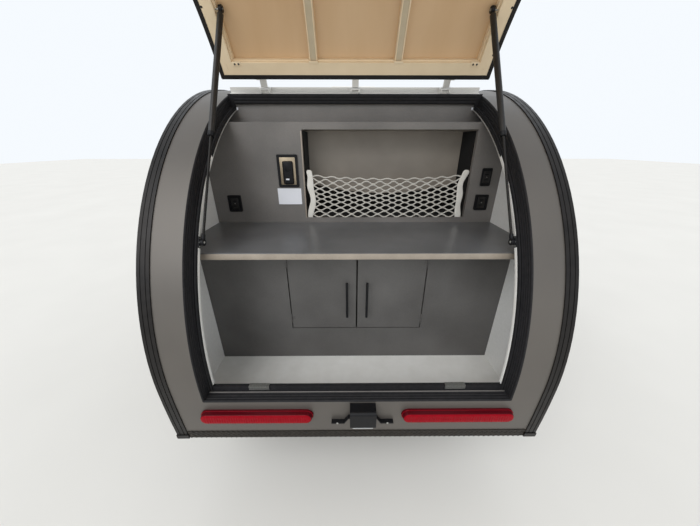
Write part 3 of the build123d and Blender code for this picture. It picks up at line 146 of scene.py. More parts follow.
def swept(path, across, out, profile, closed=False, ends=True):
    """Profile (a, b) carried along a path: P = path + a across + b out."""
    profile = np.asarray(profile, float)
    grid = path[:, None] + profile[None, :, :1] * across[:, None] + profile[None, :, 1:] * out[:, None]
    return sheet(grid, wrap_rows=closed, wrap_columns=True, ends=ends and not closed)


def turned(profile, centre, axis, start, steps=32, ring=False):
    """Profile (radius, height) round an axis, closed for a ring: P = C + h A + r (cos t U + sin t V)."""
    profile = np.asarray(profile, float)
    axis = np.asarray(axis, float) / np.linalg.norm(axis)
    first = np.asarray(start, float) - np.dot(start, axis) * axis
    first /= np.linalg.norm(first)
    second = np.cross(axis, first)
    turn = np.linspace(0, 2 * pi, steps, endpoint=False)
    circle = np.cos(turn)[:, None] * first + np.sin(turn)[:, None] * second
    grid = np.asarray(centre) + profile[:, None, 1:] * axis + profile[:, None, :1] * circle[None]
    return sheet(grid, wrap_rows=ring, wrap_columns=True, ends=not ring)


def block(centre, half, radius, axes=np.eye(3), steps=2):
    """Rounded box: P = C + (sign d (half - r) + r d) in its axes, for directions d over a sphere."""
    quarter = np.linspace(0, pi / 2, steps + 1)
    around = np.concatenate([quarter + k * pi / 2 for k in range(4)])
    sign_x = np.repeat([1, -1, -1, 1], steps + 1)
    sign_y = np.repeat([1, 1, -1, -1], steps + 1)
    height = np.concatenate([quarter - pi / 2, quarter])
    sign_z = np.repeat([-1, 1], steps + 1)
    flat = np.asarray(half, float) - radius
    x = sign_x * flat[0] + radius * np.cos(height)[:, None] * np.cos(around)
    y = sign_y * flat[1] + radius * np.cos(height)[:, None] * np.sin(around)
    z = np.repeat((sign_z * flat[2] + radius * np.sin(height))[:, None], len(around), 1)
    grid = np.asarray(centre) + np.stack([x, y, z], -1) @ np.asarray(axes, float)
    return sheet(grid, wrap_columns=True, ends=True)


def stamped(part, places, frames=None):
    """One (points, faces) repeated: P = place + point in its own axes (rows of frames)."""
    points, faces = part
    places = np.asarray(places, float)
    frames = np.broadcast_to(np.eye(3), (len(places), 3, 3)) if frames is None else np.asarray(frames, float)
    copies = places[:, None] + np.einsum("pi,kij->kpj", points, frames)
    faces = [[i + k * len(points) for i in face] for k in range(len(places)) for face in faces]
    return copies.reshape(-1, 3), faces


def piece(name, part, finish, body, replaces=(), sharp=35):
    """A mesh object riding on a body: doubles merged, faces outwards, sharp above an angle in degrees."""
    points, faces = part
    mesh = bpy.data.meshes.new(name)
    mesh.from_pydata(np.asarray(points).tolist(), [], faces)
    work = bmesh.new()
    work.from_mesh(mesh)
    bmesh.ops.remove_doubles(work, verts=work.verts, dist=1e-6)
    bmesh.ops.dissolve_degenerate(work, edges=work.edges, dist=1e-7)
    bmesh.ops.recalc_face_normals(work, faces=work.faces)
    work.to_mesh(mesh)
    work.free()
    mesh.polygons.foreach_set("use_smooth", [True] * len(mesh.polygons))
    mesh.set_sharp_from_angle(angle=radians(sharp))
    mesh.materials.append(finish)
    made = bpy.data.objects.new(name, mesh)
    bpy.context.scene.collection.objects.link(made)
    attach(made, body)
    if replaces:
        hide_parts(*replaces)
    return made


# The shell as a function of length along its skin from the tail's level, and of the inset


def skin(along, inset):
    """(y, z) at lengths along the skin, positive up the tail and negative down the tuck, inset inwards."""
    along, inset = np.broadcast_arrays(np.asarray(along, float), np.asarray(inset, float))
    up = along > 0
    radius = np.where(up, TAIL_RADIUS, TUCK_RADIUS)
    centre = np.where(up, TAIL_CENTRE_Y, TUCK_CENTRE_Y)
    angle = along / radius
    return centre - (radius - inset) * np.cos(angle), LEVEL_Z + (radius - inset) * np.sin(angle)


def along_at(z):
    """Length along the skin where the tuck comes down to a height: s = -R asin((level - z) / R)."""
    return -TUCK_RADIUS * asin((LEVEL_Z - z) / TUCK_RADIUS)


def on_skin(x, along, inset):
    """Points on the closed shell."""
    y, z = skin(along, inset)
    return np.stack(np.broadcast_arrays(x, y, z), -1)


def on_hatch(x, along, inset):
    """Points on the open hatch: the shell turned about the hinge pin."""
    y, z = skin(along, inset)
    turn = radians(HATCH_OPEN)
    dy, dz = y - HINGE_Y, z - HINGE_Z
    opened_y = HINGE_Y + dy * np.cos(turn) + dz * np.sin(turn)
    opened_z = HINGE_Z - dy * np.sin(turn) + dz * np.cos(turn)
    return np.stack(np.broadcast_arrays(x, opened_y, opened_z), -1)


def loop(x0, x1, s0, s1, radius, step=0.02, turns=5):
    """Rounded rectangle as points (x, s) and outward normals, with points no further apart than a step."""
    left, right, foot, head = x0 + radius, x1 - radius, s0 + radius, s1 - radius
    corners = ((right, head, 0), (left, head, 90), (left, foot, 180), (right, foot, 270))
    points, normals = [], []
    for x, s, start in corners:
        angle = np.radians(np.linspace(start, start + 90, turns))
        points.append(np.stack([x + radius * np.cos(angle), s + radius * np.sin(angle)], -1))
        normals.append(np.stack([np.cos(angle), np.sin(angle)], -1))
    dense, turned_out = [], []
    for k in range(4):
        here, there = points[k][-1], points[(k + 1) % 4][0]
        count = max(int(np.ceil(np.linalg.norm(there - here) / step)), 1)
        share = np.linspace(0, 1, count + 1)[1:-1, None]
        dense += [points[k], here + share * (there - here)]
        turned_out += [normals[k], np.repeat(normals[k][-1:], len(share), 0)]
    return np.concatenate(dense), np.concatenate(turned_out)


def band(place, x0, x1, s0, s1, radius, profile, step=0.02):
    """Closed moulding round a rounded rectangle on the shell: profile (out, inset) at each loop point."""
    spots, out = loop(x0, x1, s0, s1, radius, step)
    profile = np.asarray(profile, float)
    x = spots[:, :1] + out[:, :1] * profile[None, :, 0]
    s = spots[:, 1:] + out[:, 1:] * profile[None, :, 0]
    return sheet(place(x, s, profile[None, :, 1]), wrap_rows=True, wrap_columns=True)


def frame_at(place, x, s, inset):
    """Points on the shell and their axes: across, up along the skin, and inwards."""
    x, s = np.broadcast_arrays(np.asarray(x, float), np.asarray(s, float))
    small = 1e-4
    here = place(x, s, inset)
    ahead = np.stack([place(x + small, s, inset), place(x, s + small, inset), place(x, s, inset + small)], -2)
    axes = ahead - here[..., None, :]
    return here, axes / np.linalg.norm(axes, axis=-1, keepdims=True)


def screws(place, x, s, inset, radius=0.004, rise=0.0015, steps=10):
    """Low domed screw heads with a dimple, standing on an inset of the shell; a negative rise is outwards."""
    profile = [(0, -rise), (radius, -rise), (radius, 0.2 * rise), (0.75 * radius, 0.8 * rise)]
    profile += [(0.3 * radius, rise), (0.25 * radius, 0.4 * rise), (0, 0.4 * rise)]
    head = turned(profile, (0, 0, 0), UP, ACROSS, steps)
    return stamped(head, *frame_at(place, x, s, inset))


# Materials: one function adds a node; each material has its own section, or its own call of a shared function


def add(tree, kind, settings=None, **inputs):
    """Add a node, set its settings, and set or link its inputs by name or by number (n0, n1)."""
    node = tree.nodes.new(kind)
    for key, value in (settings or {}).items():
        setattr(node, key, value)
    for key, value in inputs.items():
        socket = node.inputs[int(key[1:])] if key[1:].isdigit() else node.inputs[key.replace("_", " ")]
        if isinstance(value, bpy.types.NodeSocket):
            tree.links.new(value, socket)
        else:
            socket.default_value = value
    return node


def material(name, colour, roughness, metallic=0.0):
    """A new material with plain shader values; returns it, its tree, its shader and Object coordinates."""
    made = bpy.data.materials.new(name)
    made.use_nodes = True
    tree = made.node_tree
    shader = tree.nodes["Principled BSDF"]
    shader.inputs["Base Color"].default_value = linear(colour)
    shader.inputs["Roughness"].default_value = roughness
    shader.inputs["Metallic"].default_value = metallic
    return made, tree, shader, add(tree, "ShaderNodeTexCoord").outputs["Object"]


def per(size_mm):
    """Texture scale whose features are about this size in millimetres."""
    return 1 / (size_mm * MM)


RGBA = {"data_type": "RGBA"}

# A wave texture of scale 1 has bands 2 pi / 20 apart, so per(pitch) * WAVE sets them about a pitch apart
WAVE = 2 * pi / 20


def painted(name, centre):
    """Satin charcoal aluminium, rolled and baked, drifting in tone; white where it faces the centre."""
    made, tree, shader, place = material(name, "5d5a57", 0.42)
    drift = add(tree, "ShaderNodeTexNoise", Vector=place, Scale=per(320), Detail=4.0).outputs["Fac"]
    peel = add(tree, "ShaderNodeTexNoise", Vector=place, Scale=per(3.2), Detail=2.0).outputs["Fac"]
    outer = add(tree, "ShaderNodeMix", RGBA, n0=drift, n6=linear("56524e"), n7=linear("67625c")).outputs[2]
    grain = add(tree, "ShaderNodeTexNoise", Vector=place, Scale=per(14), Detail=3.0).outputs["Fac"]
    inner = add(tree, "ShaderNodeMix", RGBA, n0=grain, n6=linear("e6e5e1"), n7=linear("f5f4f1")).outputs[2]
    arm = add(tree, "ShaderNodeVectorMath", {"operation": "SUBTRACT"}, n0=place, n1=centre).outputs[0]
    normal = add(tree, "ShaderNodeTexCoord").outputs["Normal"]
    dot = add(tree, "ShaderNodeVectorMath", {"operation": "DOT_PRODUCT"}, n0=normal, n1=arm)
    facing = dot.outputs["Value"]
    outside = add(tree, "ShaderNodeMath", {"operation": "GREATER_THAN"}, n0=facing, n1=0.0).outputs[0]
    skin_colour = add(tree, "ShaderNodeMix", RGBA, n0=outside, n6=inner, n7=outer).outputs[2]
    tree.links.new(skin_colour, shader.inputs["Base Color"])
    metal_share = add(tree, "ShaderNodeMath", {"operation": "MULTIPLY"}, n0=outside, n1=0.35).outputs[0]
    tree.links.new(metal_share, shader.inputs["Metallic"])
    skin_rough = add(tree, "ShaderNodeMapRange", Value=drift, n1=0.3, n2=0.7, n3=0.36, n4=0.48).outputs[0]
    tree.links.new(skin_rough, shader.inputs["Roughness"])
    skin_bump = add(tree, "ShaderNodeBump", Strength=0.08, Distance=0.3 * MM, Height=peel).outputs[0]
    tree.links.new(skin_bump, shader.inputs["Normal"])
    return made


def mottled(name, colour, roughness, metallic, size, detail, dark, light, grain=None, **further):
    """Two tones that drift over a size in mm; grain is a relief: its size in mm, strength and depth in mm."""
    made, tree, shader, place = material(name, colour, roughness, metallic)
    drift = add(tree, "ShaderNodeTexNoise", Vector=place, Scale=per(size), Detail=detail).outputs["Fac"]
    tone = add(tree, "ShaderNodeMix", RGBA, n0=drift, n6=linear(dark), n7=linear(light)).outputs[2]
    tree.links.new(tone, shader.inputs["Base Color"])
    if grain:
        grain_size, strength, depth = grain
        fine = add(tree, "ShaderNodeTexNoise", Vector=place, Scale=per(grain_size), Detail=2.0).outputs["Fac"]
        bump = add(tree, "ShaderNodeBump", Strength=strength, Distance=depth * MM, Height=fine).outputs[0]
        tree.links.new(bump, shader.inputs["Normal"])
    for key, value in further.items():
        shader.inputs[key.replace("_", " ")].default_value = value
    return made


def banded(name, colour, roughness, direction, pitch, dark, light, relief=None, **further):
    """Bands of two tones, a pitch in mm apart, such as threads; relief is its strength and depth in mm."""
    made, tree, shader, place = material(name, colour, roughness)
    settings = {"bands_direction": direction}
    bands = add(tree, "ShaderNodeTexWave", settings, Vector=place, Scale=per(pitch) * WAVE).outputs["Fac"]
    tone = add(tree, "ShaderNodeMix", RGBA, n0=bands, n6=linear(dark), n7=linear(light)).outputs[2]
    tree.links.new(tone, shader.inputs["Base Color"])
    if relief:
        strength, depth = relief
        bump = add(tree, "ShaderNodeBump", Strength=strength, Distance=depth * MM, Height=bands).outputs[0]
        tree.links.new(bump, shader.inputs["Normal"])
    for key, value in further.items():
        shader.inputs[key.replace("_", " ")].default_value = value
    return made


# Charcoal paint outside, white panel inside: the white face looks to a point in the cabin, or in the hatch
CABIN_MID = (0.0, 0.0, 0.95)
HATCH_MID = tuple(float(v) for v in on_hatch(0.0, 0.0, TAIL_RADIUS))
paint = painted("charcoal_painted_aluminium", CABIN_MID)
hatch_paint = painted("charcoal_painted_hatch", HATCH_MID)

# Black anodised extrusion: an even satin black, a little worn and dusty
anodised, tree, shader, place = material("black_anodised_extrusion", "1b1a1b", 0.36, 0.6)
dust = add(tree, "ShaderNodeTexNoise", Vector=place, Scale=per(40), Detail=6.0).outputs["Fac"]
tone = add(tree, "ShaderNodeMix", RGBA, n0=dust, n6=linear("100f10"), n7=linear("2a2725")).outputs[2]
tree.links.new(tone, shader.inputs["Base Color"])
wear = add(tree, "ShaderNodeMapRange", Value=dust, n1=0.3, n2=0.7, n3=0.28, n4=0.5).outputs[0]
tree.links.new(wear, shader.inputs["Roughness"])

# Extruded rubber seal: matte black with a faint chalky bloom and mould ripple
rubber = mottled("extruded_black_rubber", "18181a", 0.7, 0.0, 18, 5.0, "0f0f11", "29282a",
                 grain=(2.5, 0.15, 0.2), Specular_IOR_Level=0.25)

# White vinyl-faced panel of the floor and the walls' returns: moulded, washed often, faintly mottled; a face
# that looks down, as the floor's underside does, is sealed with black bitumen
panel_white, tree, shader, place = material("white_faced_panel", "e9e7e2", 0.45)
mottle = add(tree, "ShaderNodeTexNoise", Vector=place, Scale=per(60), Detail=5.0).outputs["Fac"]
upper = add(tree, "ShaderNodeMix", RGBA, n0=mottle, n6=linear("dcdad4"), n7=linear("f0efeb")).outputs[2]
lower = add(tree, "ShaderNodeMix", RGBA, n0=mottle, n6=linear("17171a"), n7=linear("2a2a2d")).outputs[2]
normal = add(tree, "ShaderNodeTexCoord").outputs["Normal"]
upward = add(tree, "ShaderNodeSeparateXYZ", Vector=normal).outputs["Z"]
sealed = add(tree, "ShaderNodeMath", {"operation": "LESS_THAN"}, n0=upward, n1=-0.5).outputs[0]
tone = add(tree, "ShaderNodeMix", RGBA, n0=sealed, n6=upper, n7=lower).outputs[2]
tree.links.new(tone, shader.inputs["Base Color"])

# Mill-finish aluminium: pale, drawn through a die, so fine streaks along it and a soft sheen
mill, tree, shader, place = material("mill_finish_aluminium", "d6d4cf", 0.42, 0.7)
stretch = add(tree, "ShaderNodeMapping", Vector=place, Scale=(1, per(1.2), per(1.2))).outputs[0]
streak = add(tree, "ShaderNodeTexNoise", Vector=stretch, Scale=2.0, Detail=4.0).outputs["Fac"]
tone = add(tree, "ShaderNodeMix", RGBA, n0=streak, n6=linear("d2d0cb"), n7=linear("f0eeea")).outputs[2]
tree.links.new(tone, shader.inputs["Base Color"])
spread = add(tree, "ShaderNodeMapRange", Value=streak, n1=0.3, n2=0.7, n3=0.26, n4=0.44).outputs[0]
tree.links.new(spread, shader.inputs["Roughness"])

# Champagne-coated aluminium tube of the hatch frame: warm cream, drawn, with an even satin coat
cream = mottled("champagne_coated_aluminium", "d3c8ad", 0.42, 0.15, 90, 3.0, "e0c9a6", "f0dcbb")

# The same coat, darker and duller, on the strips inside the ribs' channels: painted shade in the channels'
# corners
shade_cream = mottled("champagne_channel_painted_shade", "b0a187", 0.6, 0.1, 45, 5.0, "b8a98d", "cfc0a5")

# Tan hardboard lining of the hatch: pressed and varnished, so a warm even sheet with long soft stains
hardboard, tree, shader, place = material("varnished_tan_hardboard", "c9a67c", 0.38)
stretch = add(tree, "ShaderNodeMapping", Vector=place, Scale=(1.0, 0.25, 0.25)).outputs[0]
stain = add(tree, "ShaderNodeTexNoise", Vector=stretch, Scale=per(120), Detail=5.0).outputs["Fac"]
fibre = add(tree, "ShaderNodeTexNoise", Vector=place, Scale=per(2.0), Detail=3.0).outputs["Fac"]
tone = add(tree, "ShaderNodeMix", RGBA, n0=stain, n6=linear("c7a277"), n7=linear("dcbc94")).outputs[2]
tree.links.new(tone, shader.inputs["Base Color"])
fibre_bump = add(tree, "ShaderNodeBump", Strength=0.1, Distance=0.2 * MM, Height=fibre).outputs[0]
tree.links.new(fibre_bump, shader.inputs["Normal"])

# Zinc-plated steel: pale grey with a faint crystalline bloom from the bath
zinc, tree, shader, place = material("zinc_plated_steel", "adadab", 0.36, 0.9)
bloom = add(tree, "ShaderNodeTexVoronoi", Vector=place, Scale=per(5)).outputs["Distance"]
tone = add(tree, "ShaderNodeMix", RGBA, n0=bloom, n6=linear("b9b9b6"), n7=linear("96968f")).outputs[2]
tree.links.new(tone, shader.inputs["Base Color"])
spread = add(tree, "ShaderNodeMapRange", Value=bloom, n1=0.0, n2=0.7, n3=0.28, n4=0.46).outputs[0]
tree.links.new(spread, shader.inputs["Roughness"])

# Black powder coat: baked powder, so an even orange-peel skin with satin highlights
powder = mottled("black_powder_coat", "17181a", 0.4, 0.0, 140, 5.0, "0d0e10", "1a1b1e",
                 grain=(1.6, 0.25, 0.15), Specular_IOR_Level=0.3)

# Black pulls of the galley doors, baked powder; the hinge leaves at the doors' outer edges are lacquered over
LEAF_FROM = 0.25
pull_finish, tree, shader, place = material("black_pull_and_lacquered_leaf", "17181a", 0.42)
across = add(tree, "ShaderNodeSeparateXYZ", n0=place).outputs["X"]
beside = add(tree, "ShaderNodeMath", {"operation": "ABSOLUTE"}, n0=across).outputs[0]
leaf = add(tree, "ShaderNodeMath", {"operation": "GREATER_THAN"}, n0=beside, n1=LEAF_FROM).outputs[0]
haze = add(tree, "ShaderNodeTexNoise", Vector=place, Scale=per(60), Detail=4.0).outputs["Fac"]
tone = add(tree, "ShaderNodeMix", RGBA, n0=haze, n6=linear("0d0e10"), n7=linear("1a1b1e")).outputs[2]
lacquer = add(tree, "ShaderNodeMix", RGBA, n0=leaf, n6=tone, n7=linear("5c5a58")).outputs[2]
tree.links.new(lacquer, shader.inputs["Base Color"])
shader.inputs["Specular IOR Level"].default_value = 0.3

# Black enamel of the struts' cylinders and the outlets: sprayed and smooth, dulled by specks of dust
enamel, tree, shader, place = material("gloss_black_enamel", "12100e", 0.45)
speck = add(tree, "ShaderNodeTexNoise", Vector=place, Scale=per(6), Detail=4.0).outputs["Fac"]
spread = add(tree, "ShaderNodeMapRange", Value=speck, n1=0.4, n2=0.7, n3=0.40, n4=0.54).outputs[0]
tree.links.new(spread, shader.inputs["Roughness"])

# Nitrided steel rod: ground, then salt-bath black, so a dark metal with a fine sheen
nitrided, tree, shader, place = material("nitrided_steel_rod", "1c1a18", 0.42, 0.6)
ground = add(tree, "ShaderNodeTexNoise", Vector=place, Scale=per(1.5), Detail=3.0).outputs["Fac"]
spread = add(tree, "ShaderNodeMapRange", Value=ground, n1=0.3, n2=0.7, n3=0.36, n4=0.50).outputs[0]
tree.links.new(spread, shader.inputs["Roughness"])

# Black tread plate: rolled aluminium painted black, road dust caught between its bars
tread_metal = mottled("black_tread_plate", "1c1a18", 0.42, 0.0, 30, 6.0, "100e0c", "2b251d",
                      Specular_IOR_Level=0.25)

# Red acrylic lens: clear colour over a pale reflector; its front is painted bright and its sides a deeper red
# by the way they face, a painted shade on the sides
lens, tree, shader, place = material("red_acrylic_lens", "a30d12", 0.12)
normal = add(tree, "ShaderNodeTexCoord").outputs["Normal"]
dot = add(tree, "ShaderNodeVectorMath", {"operation": "DOT_PRODUCT"}, n0=normal, n1=(0, -1, 0))
facing = dot.outputs["Value"]
lit_front = add(tree, "ShaderNodeMapRange", Value=facing, n1=0.45, n2=0.85, n3=0.0, n4=1.0).outputs[0]
depth = add(tree, "ShaderNodeTexNoise", Vector=place, Scale=per(22), Detail=3.0).outputs["Fac"]
lit_red = add(tree, "ShaderNodeMix", RGBA, n0=depth, n6=linear("7d0512"), n7=linear("92081a")).outputs[2]
tone = add(tree, "ShaderNodeMix", RGBA, n0=lit_front, n6=linear("4a0a12"), n7=lit_red).outputs[2]
tree.links.new(tone, shader.inputs["Base Color"])
shader.inputs["Specular IOR Level"].default_value = 0.06

# Black ABS: injection moulded with a fine spark-eroded grain
abs_black = mottled("moulded_black_abs", "0e0e10", 0.42, 0.0, 35, 4.0, "0b0b0d", "161619",
                    grain=(0.9, 0.2, 0.1), Specular_IOR_Level=0.22)


def laminate(name, dark, light, roughness, cloud):
    """Laminate on plywood: printed paper pressed with a fine linen tooth, drifting a little in tone."""
    made, tree, shader, place = material(name, dark, roughness)
    drift = add(tree, "ShaderNodeTexNoise", Vector=place, Scale=per(cloud), Detail=3.0).outputs["Fac"]
    fleck = add(tree, "ShaderNodeTexNoise", Vector=place, Scale=per(1.6), Detail=2.0).outputs["Fac"]
    blend = add(tree, "ShaderNodeMath", {"operation": "MULTIPLY_ADD"}, n0=fleck, n1=0.8, n2=drift)
    reach = add(tree, "ShaderNodeMapRange", Value=blend.outputs[0], n1=0.65, n2=1.15, n3=0.0, n4=1.0)
    tone = add(tree, "ShaderNodeMix", RGBA, n0=reach.outputs[0], n6=linear(dark), n7=linear(light)).outputs[2]
    tree.links.new(tone, shader.inputs["Base Color"])
    tooth = add(tree, "ShaderNodeTexNoise", Vector=place, Scale=per(0.9), Detail=2.0).outputs["Fac"]
    relief = add(tree, "ShaderNodeBump", Strength=0.15, Distance=0.15 * MM, Height=tooth).outputs[0]
    tree.links.new(relief, shader.inputs["Normal"])
    return made


# The bulkhead and header, and the cabinet below the counter with its doors and hinges, share one laminate in
# two copies: painted lighter for the light on the bulkhead, painted darker for the shade below the counter
lit_laminate = laminate("grey_laminate_painted_light", "64615e", "7d7975", 0.42, 260)
shaded_laminate = laminate("grey_laminate_painted_shade", "514f4d", "666462", 0.45, 260)
cubby_finish = laminate("taupe_linen_laminate", "867e74", "9a9185", 0.45, 200)
counter_finish = laminate("slate_worktop_laminate", "515254", "666769", 0.30, 180)
# The edge band is a paler copy of the laminate: painted light where edges face the light
lit_edge_finish = laminate("taupe_laminate_painted_light", "8c8276", "a3988a", 0.38, 90)

# Black needle-punched felt: matted fibre, its nap drawn coarser than the real one, lit at its edge; it is a
# painted shade, a dark sheet where the deep cubby lies in shade
shade_felt, tree, shader, place = material("black_felt_painted_shade", "121211", 0.95)
nap = add(tree, "ShaderNodeTexNoise", Vector=place, Scale=per(3), Detail=6.0).outputs["Fac"]
tone = add(tree, "ShaderNodeMix", RGBA, n0=nap, n6=linear("0b0b0b"), n7=linear("1d1c1a")).outputs[2]
tree.links.new(tone, shader.inputs["Base Color"])
nap_bump = add(tree, "ShaderNodeBump", Strength=0.4, Distance=0.8 * MM, Height=nap).outputs[0]
tree.links.new(nap_bump, shader.inputs["Normal"])
shader.inputs["Specular IOR Level"].default_value = 0.15
shader.inputs["Sheen Weight"].default_value = 0.05

# Woven polyester ticking of the mattress: a visible thread, drawn coarser than the real one so that it shows
ticking = banded("woven_grey_ticking", "767c83", 0.85, "DIAGONAL", 4, "646b73", "8b9198",
                 relief=(0.3, 0.4), Sheen_Weight=0.3)

# Knotted polyester cord: off-white, twisted, softly fuzzy; its twist is drawn coarser than the real one
cord_fibre = banded("twisted_white_cord", "c9c6bd", 0.8, "DIAGONAL", 2.4, "a8a49b", "dcd9d1",
                    relief=(0.4, 0.5), Sheen_Weight=0.2)

# Woven webbing of the net's hems: bright white, ribbed across, its ribs drawn coarser than the real ones
webbing = banded("woven_white_webbing", "e4e1d9", 0.75, "Z", 2.2, "d0cdc4", "efece5", relief=(0.4, 0.4))

# Smoked acrylic window: dark grey tint, cast flat, with a hard gloss
smoked, tree, shader, place = material("smoked_acrylic_window", "15181b", 0.06)
sweep_mark = add(tree, "ShaderNodeTexNoise", Vector=place, Scale=per(110), Detail=3.0).outputs["Fac"]
spread = add(tree, "ShaderNodeMapRange", Value=sweep_mark, n1=0.3, n2=0.7, n3=0.04, n4=0.1).outputs[0]
tree.links.new(spread, shader.inputs["Roughness"])
shader.inputs["Coat Weight"].default_value = 0.5

# White ASA of the roof vent: moulded and weathered, with a soft bloom
vent_plastic = mottled("moulded_white_asa", "e6e4de", 0.42, 0.0, 70, 5.0, "dad7cf", "eeece7")

# Amber lens of the side markers: moulded prisms in clear colour
amber = banded("amber_acrylic_lens", "c9761a", 0.14, "Y", 4, "b3620f", "dd8d27", Coat_Weight=0.5)

# Machined cast aluminium wheel: a turned and lacquered face with the grain of the casting
wheel_metal = mottled("machined_cast_aluminium", "b9bbbd", 0.3, 0.9, 2.2, 3.0, "a9abad", "c9cbcd",
                      Coat_Weight=0.3)

# Vulcanised tyre rubber: matte charcoal black, dusty from the road
tyre_rubber = mottled("vulcanised_tyre_rubber", "19191a", 0.78, 0.0, 55, 7.0, "111112", "2b2a29",
                      grain=(1.4, 0.3, 0.2))

# Bronze anodised panel face: brushed, warm and glossy, so it mirrors the sky softly
bronze, tree, shader, place = material("bronze_anodised_face", "a8977c", 0.3, 0.5)
stretch = add(tree, "ShaderNodeMapping", Vector=place, Scale=(1.0, 1.0, 0.05)).outputs[0]
brush = add(tree, "ShaderNodeTexNoise", Vector=stretch, Scale=per(0.8), Detail=3.0).outputs["Fac"]
tone = add(tree, "ShaderNodeMix", RGBA, n0=brush, n6=linear("988871"), n7=linear("bdae95")).outputs[2]
tree.links.new(tone, shader.inputs["Base Color"])

# Blank white card: uncoated board, faintly fibrous
card_stock = mottled("uncoated_white_card", "e6e7ea", 0.8, 0.0, 1.5, 4.0, "dcdee5", "eef0f5")

# Frosted polycarbonate of the plate lamp: a milky clear lens
frosted = mottled("frosted_polycarbonate", "d8dadb", 0.3, 0.0, 8, 3.0, "c6cacc", "e4e6e6",
                  Transmission_Weight=0.35)

# Which material each CAD node wears
worn = (
    (paint, "side_walls", "roof_panel", "nose_panel", "tail_skin", "side_door_left", "side_door_right"),
    (hatch_paint, "hatch_skin"),
    (anodised, "corner_trims", "door_frames", "hatch_latches"),
    (panel_white, "floor_deck"),
    (rubber, "hatch_jamb"),
    (mill, "hinge_rail", "hatch_hinges"),
    (cream, "hatch_frame"),
    (zinc, "strut_brackets", "strut_studs", "latch_strikers", "jack_tube", "jack_leg"),
    (enamel, "strut_tube_left", "strut_tube_right"),
    (nitrided, "strut_rod_left", "strut_rod_right"),
    (tread_metal, "tread_strip"),
    (lens, "tail_lights"),
    (abs_black, "plate_lamp", "galley_plates"),
    (lit_laminate, "bulkhead", "galley_header"),
    (shaded_laminate, "cabinet_face", "galley_hinges", "galley_door_left", "galley_door_right"),
    (cubby_finish, "cubby_box"),
    (counter_finish, "counter"),
    (pull_finish, "galley_fittings_left", "galley_fittings_right"),
    (powder, "door_fittings_left", "door_fittings_right"),
    (powder, "frame_rails", "cross_members", "tongue_beams", "jack_plate", "coupler"),
    (powder, "axle_beam", "axle_arms", "fenders"),
    (cord_fibre, "cargo_net"),
    (ticking, "mattress"),
    (smoked, "window_glass_left", "window_glass_right"),
    (vent_plastic, "vent_frame", "vent_lid"),
    (amber, "marker_lamps"),
    (wheel_metal, "rim_left", "rim_right"),
    (tyre_rubber, "tyre_left", "tyre_right"),
)
for finish, *names in worn:
    for name in names:
        nodes[name].data.materials.clear()
        nodes[name].data.materials.append(finish)
        nodes[name].data.polygons.foreach_set("material_index", [0] * len(nodes[name].data.polygons))

# Opening of the galley: black ridged extrusion on its two flanks and its sill, a grey strip along its foot


def channel(place, half, s0, s1, radius, profile):
    """Open moulding up both sides of an opening and along its foot: profile (out, inset) along the U.

    The U is a rounded rectangle whose head lies a metre beyond s1, cut off at s1.
    """
    spots, out = loop(-half, half, s0, s1 + 1.0, radius)
    begin = int(np.argmax((spots[:, 0] < 0) & (spots[:, 1] <= s1)))
    spots, out = np.roll(spots, -begin, 0), np.roll(out, -begin, 0)
    keep = spots[:, 1] <= s1
    spots, out = spots[keep], out[keep]
    profile = np.asarray(profile, float)
    x = spots[:, :1] + out[:, :1] * profile[None, :, 0]
    s = spots[:, 1:] + out[:, 1:] * profile[None, :, 0]
    return sheet(place(x, s, profile[None, :, 1]), wrap_columns=True, ends=True)


OPENING_FOOT = along_at(APRON_TOP)
OPENING_HEAD = radians(SKIN_TOP_ANGLE) * TAIL_RADIUS
OPENING_CORNER = 0.004
FLANK_DEEP = 0.0465
RIDGE_PITCH = 0.0115
RIDGE_RISE = 0.0030
LINER_BASE = 0.0012
LINER_BACK = 0.001
ridge_inset = np.linspace(0.0008, FLANK_DEEP, 43)
ridge_out = -LINER_BASE - RIDGE_RISE * np.abs(np.sin(pi * ridge_inset / RIDGE_PITCH)) ** 0.6
ridges = [(out, inset) for out, inset in zip(ridge_out, ridge_inset)]
liner_profile = [(LINER_BACK, -0.0008)] + ridges + [(LINER_BACK, FLANK_DEEP)]
liner = channel(on_skin, OPENING_HALF, OPENING_FOOT, OPENING_HEAD, OPENING_CORNER, liner_profile)
piece("opening_liner", liner, rubber, "chassis")

# The grey strip along the sill's foot is its lower edge drawn pale for the light it catches: a painted
# highlight
STRIP_DEEP = 0.004
strip_y, strip_z = (float(value) for value in skin(OPENING_FOOT, FLANK_DEEP - STRIP_DEEP))
strip = block((0, strip_y, strip_z + STRIP_DEEP), (OPENING_HALF - 0.006, STRIP_DEEP, 0.0032), 0.0012)
piece("sill_strip", strip, lit_laminate, "chassis")

# Hatch: a black edge moulding all round, a tan lining sheet inside its rails
HATCH_FOOT = along_at(HATCH_BOTTOM)
HATCH_HEAD = radians(HATCH_TOP_ANGLE) * TAIL_RADIUS
EDGE_FOLD = 0.014
EDGE_OUT = 0.0013
edge_profile = [
    (-EDGE_FOLD, -EDGE_OUT),
    (0.001, -EDGE_OUT),
    (0.002, -0.0003),
    (0.002, HATCH_THICK + 0.0006),
    (0.001, HATCH_THICK + 0.0014),
    (-0.015, HATCH_THICK + 0.0014),
    (-0.015, HATCH_THICK - 0.002),
    (-0.001, HATCH_THICK - 0.002),
    (-0.001, 0.001),
    (-EDGE_FOLD, 0.001),
]
edge = band(on_hatch, -HATCH_HALF, HATCH_HALF, HATCH_FOOT, HATCH_HEAD, 0.003, edge_profile)
piece("hatch_edge", edge, anodised, "hatch")

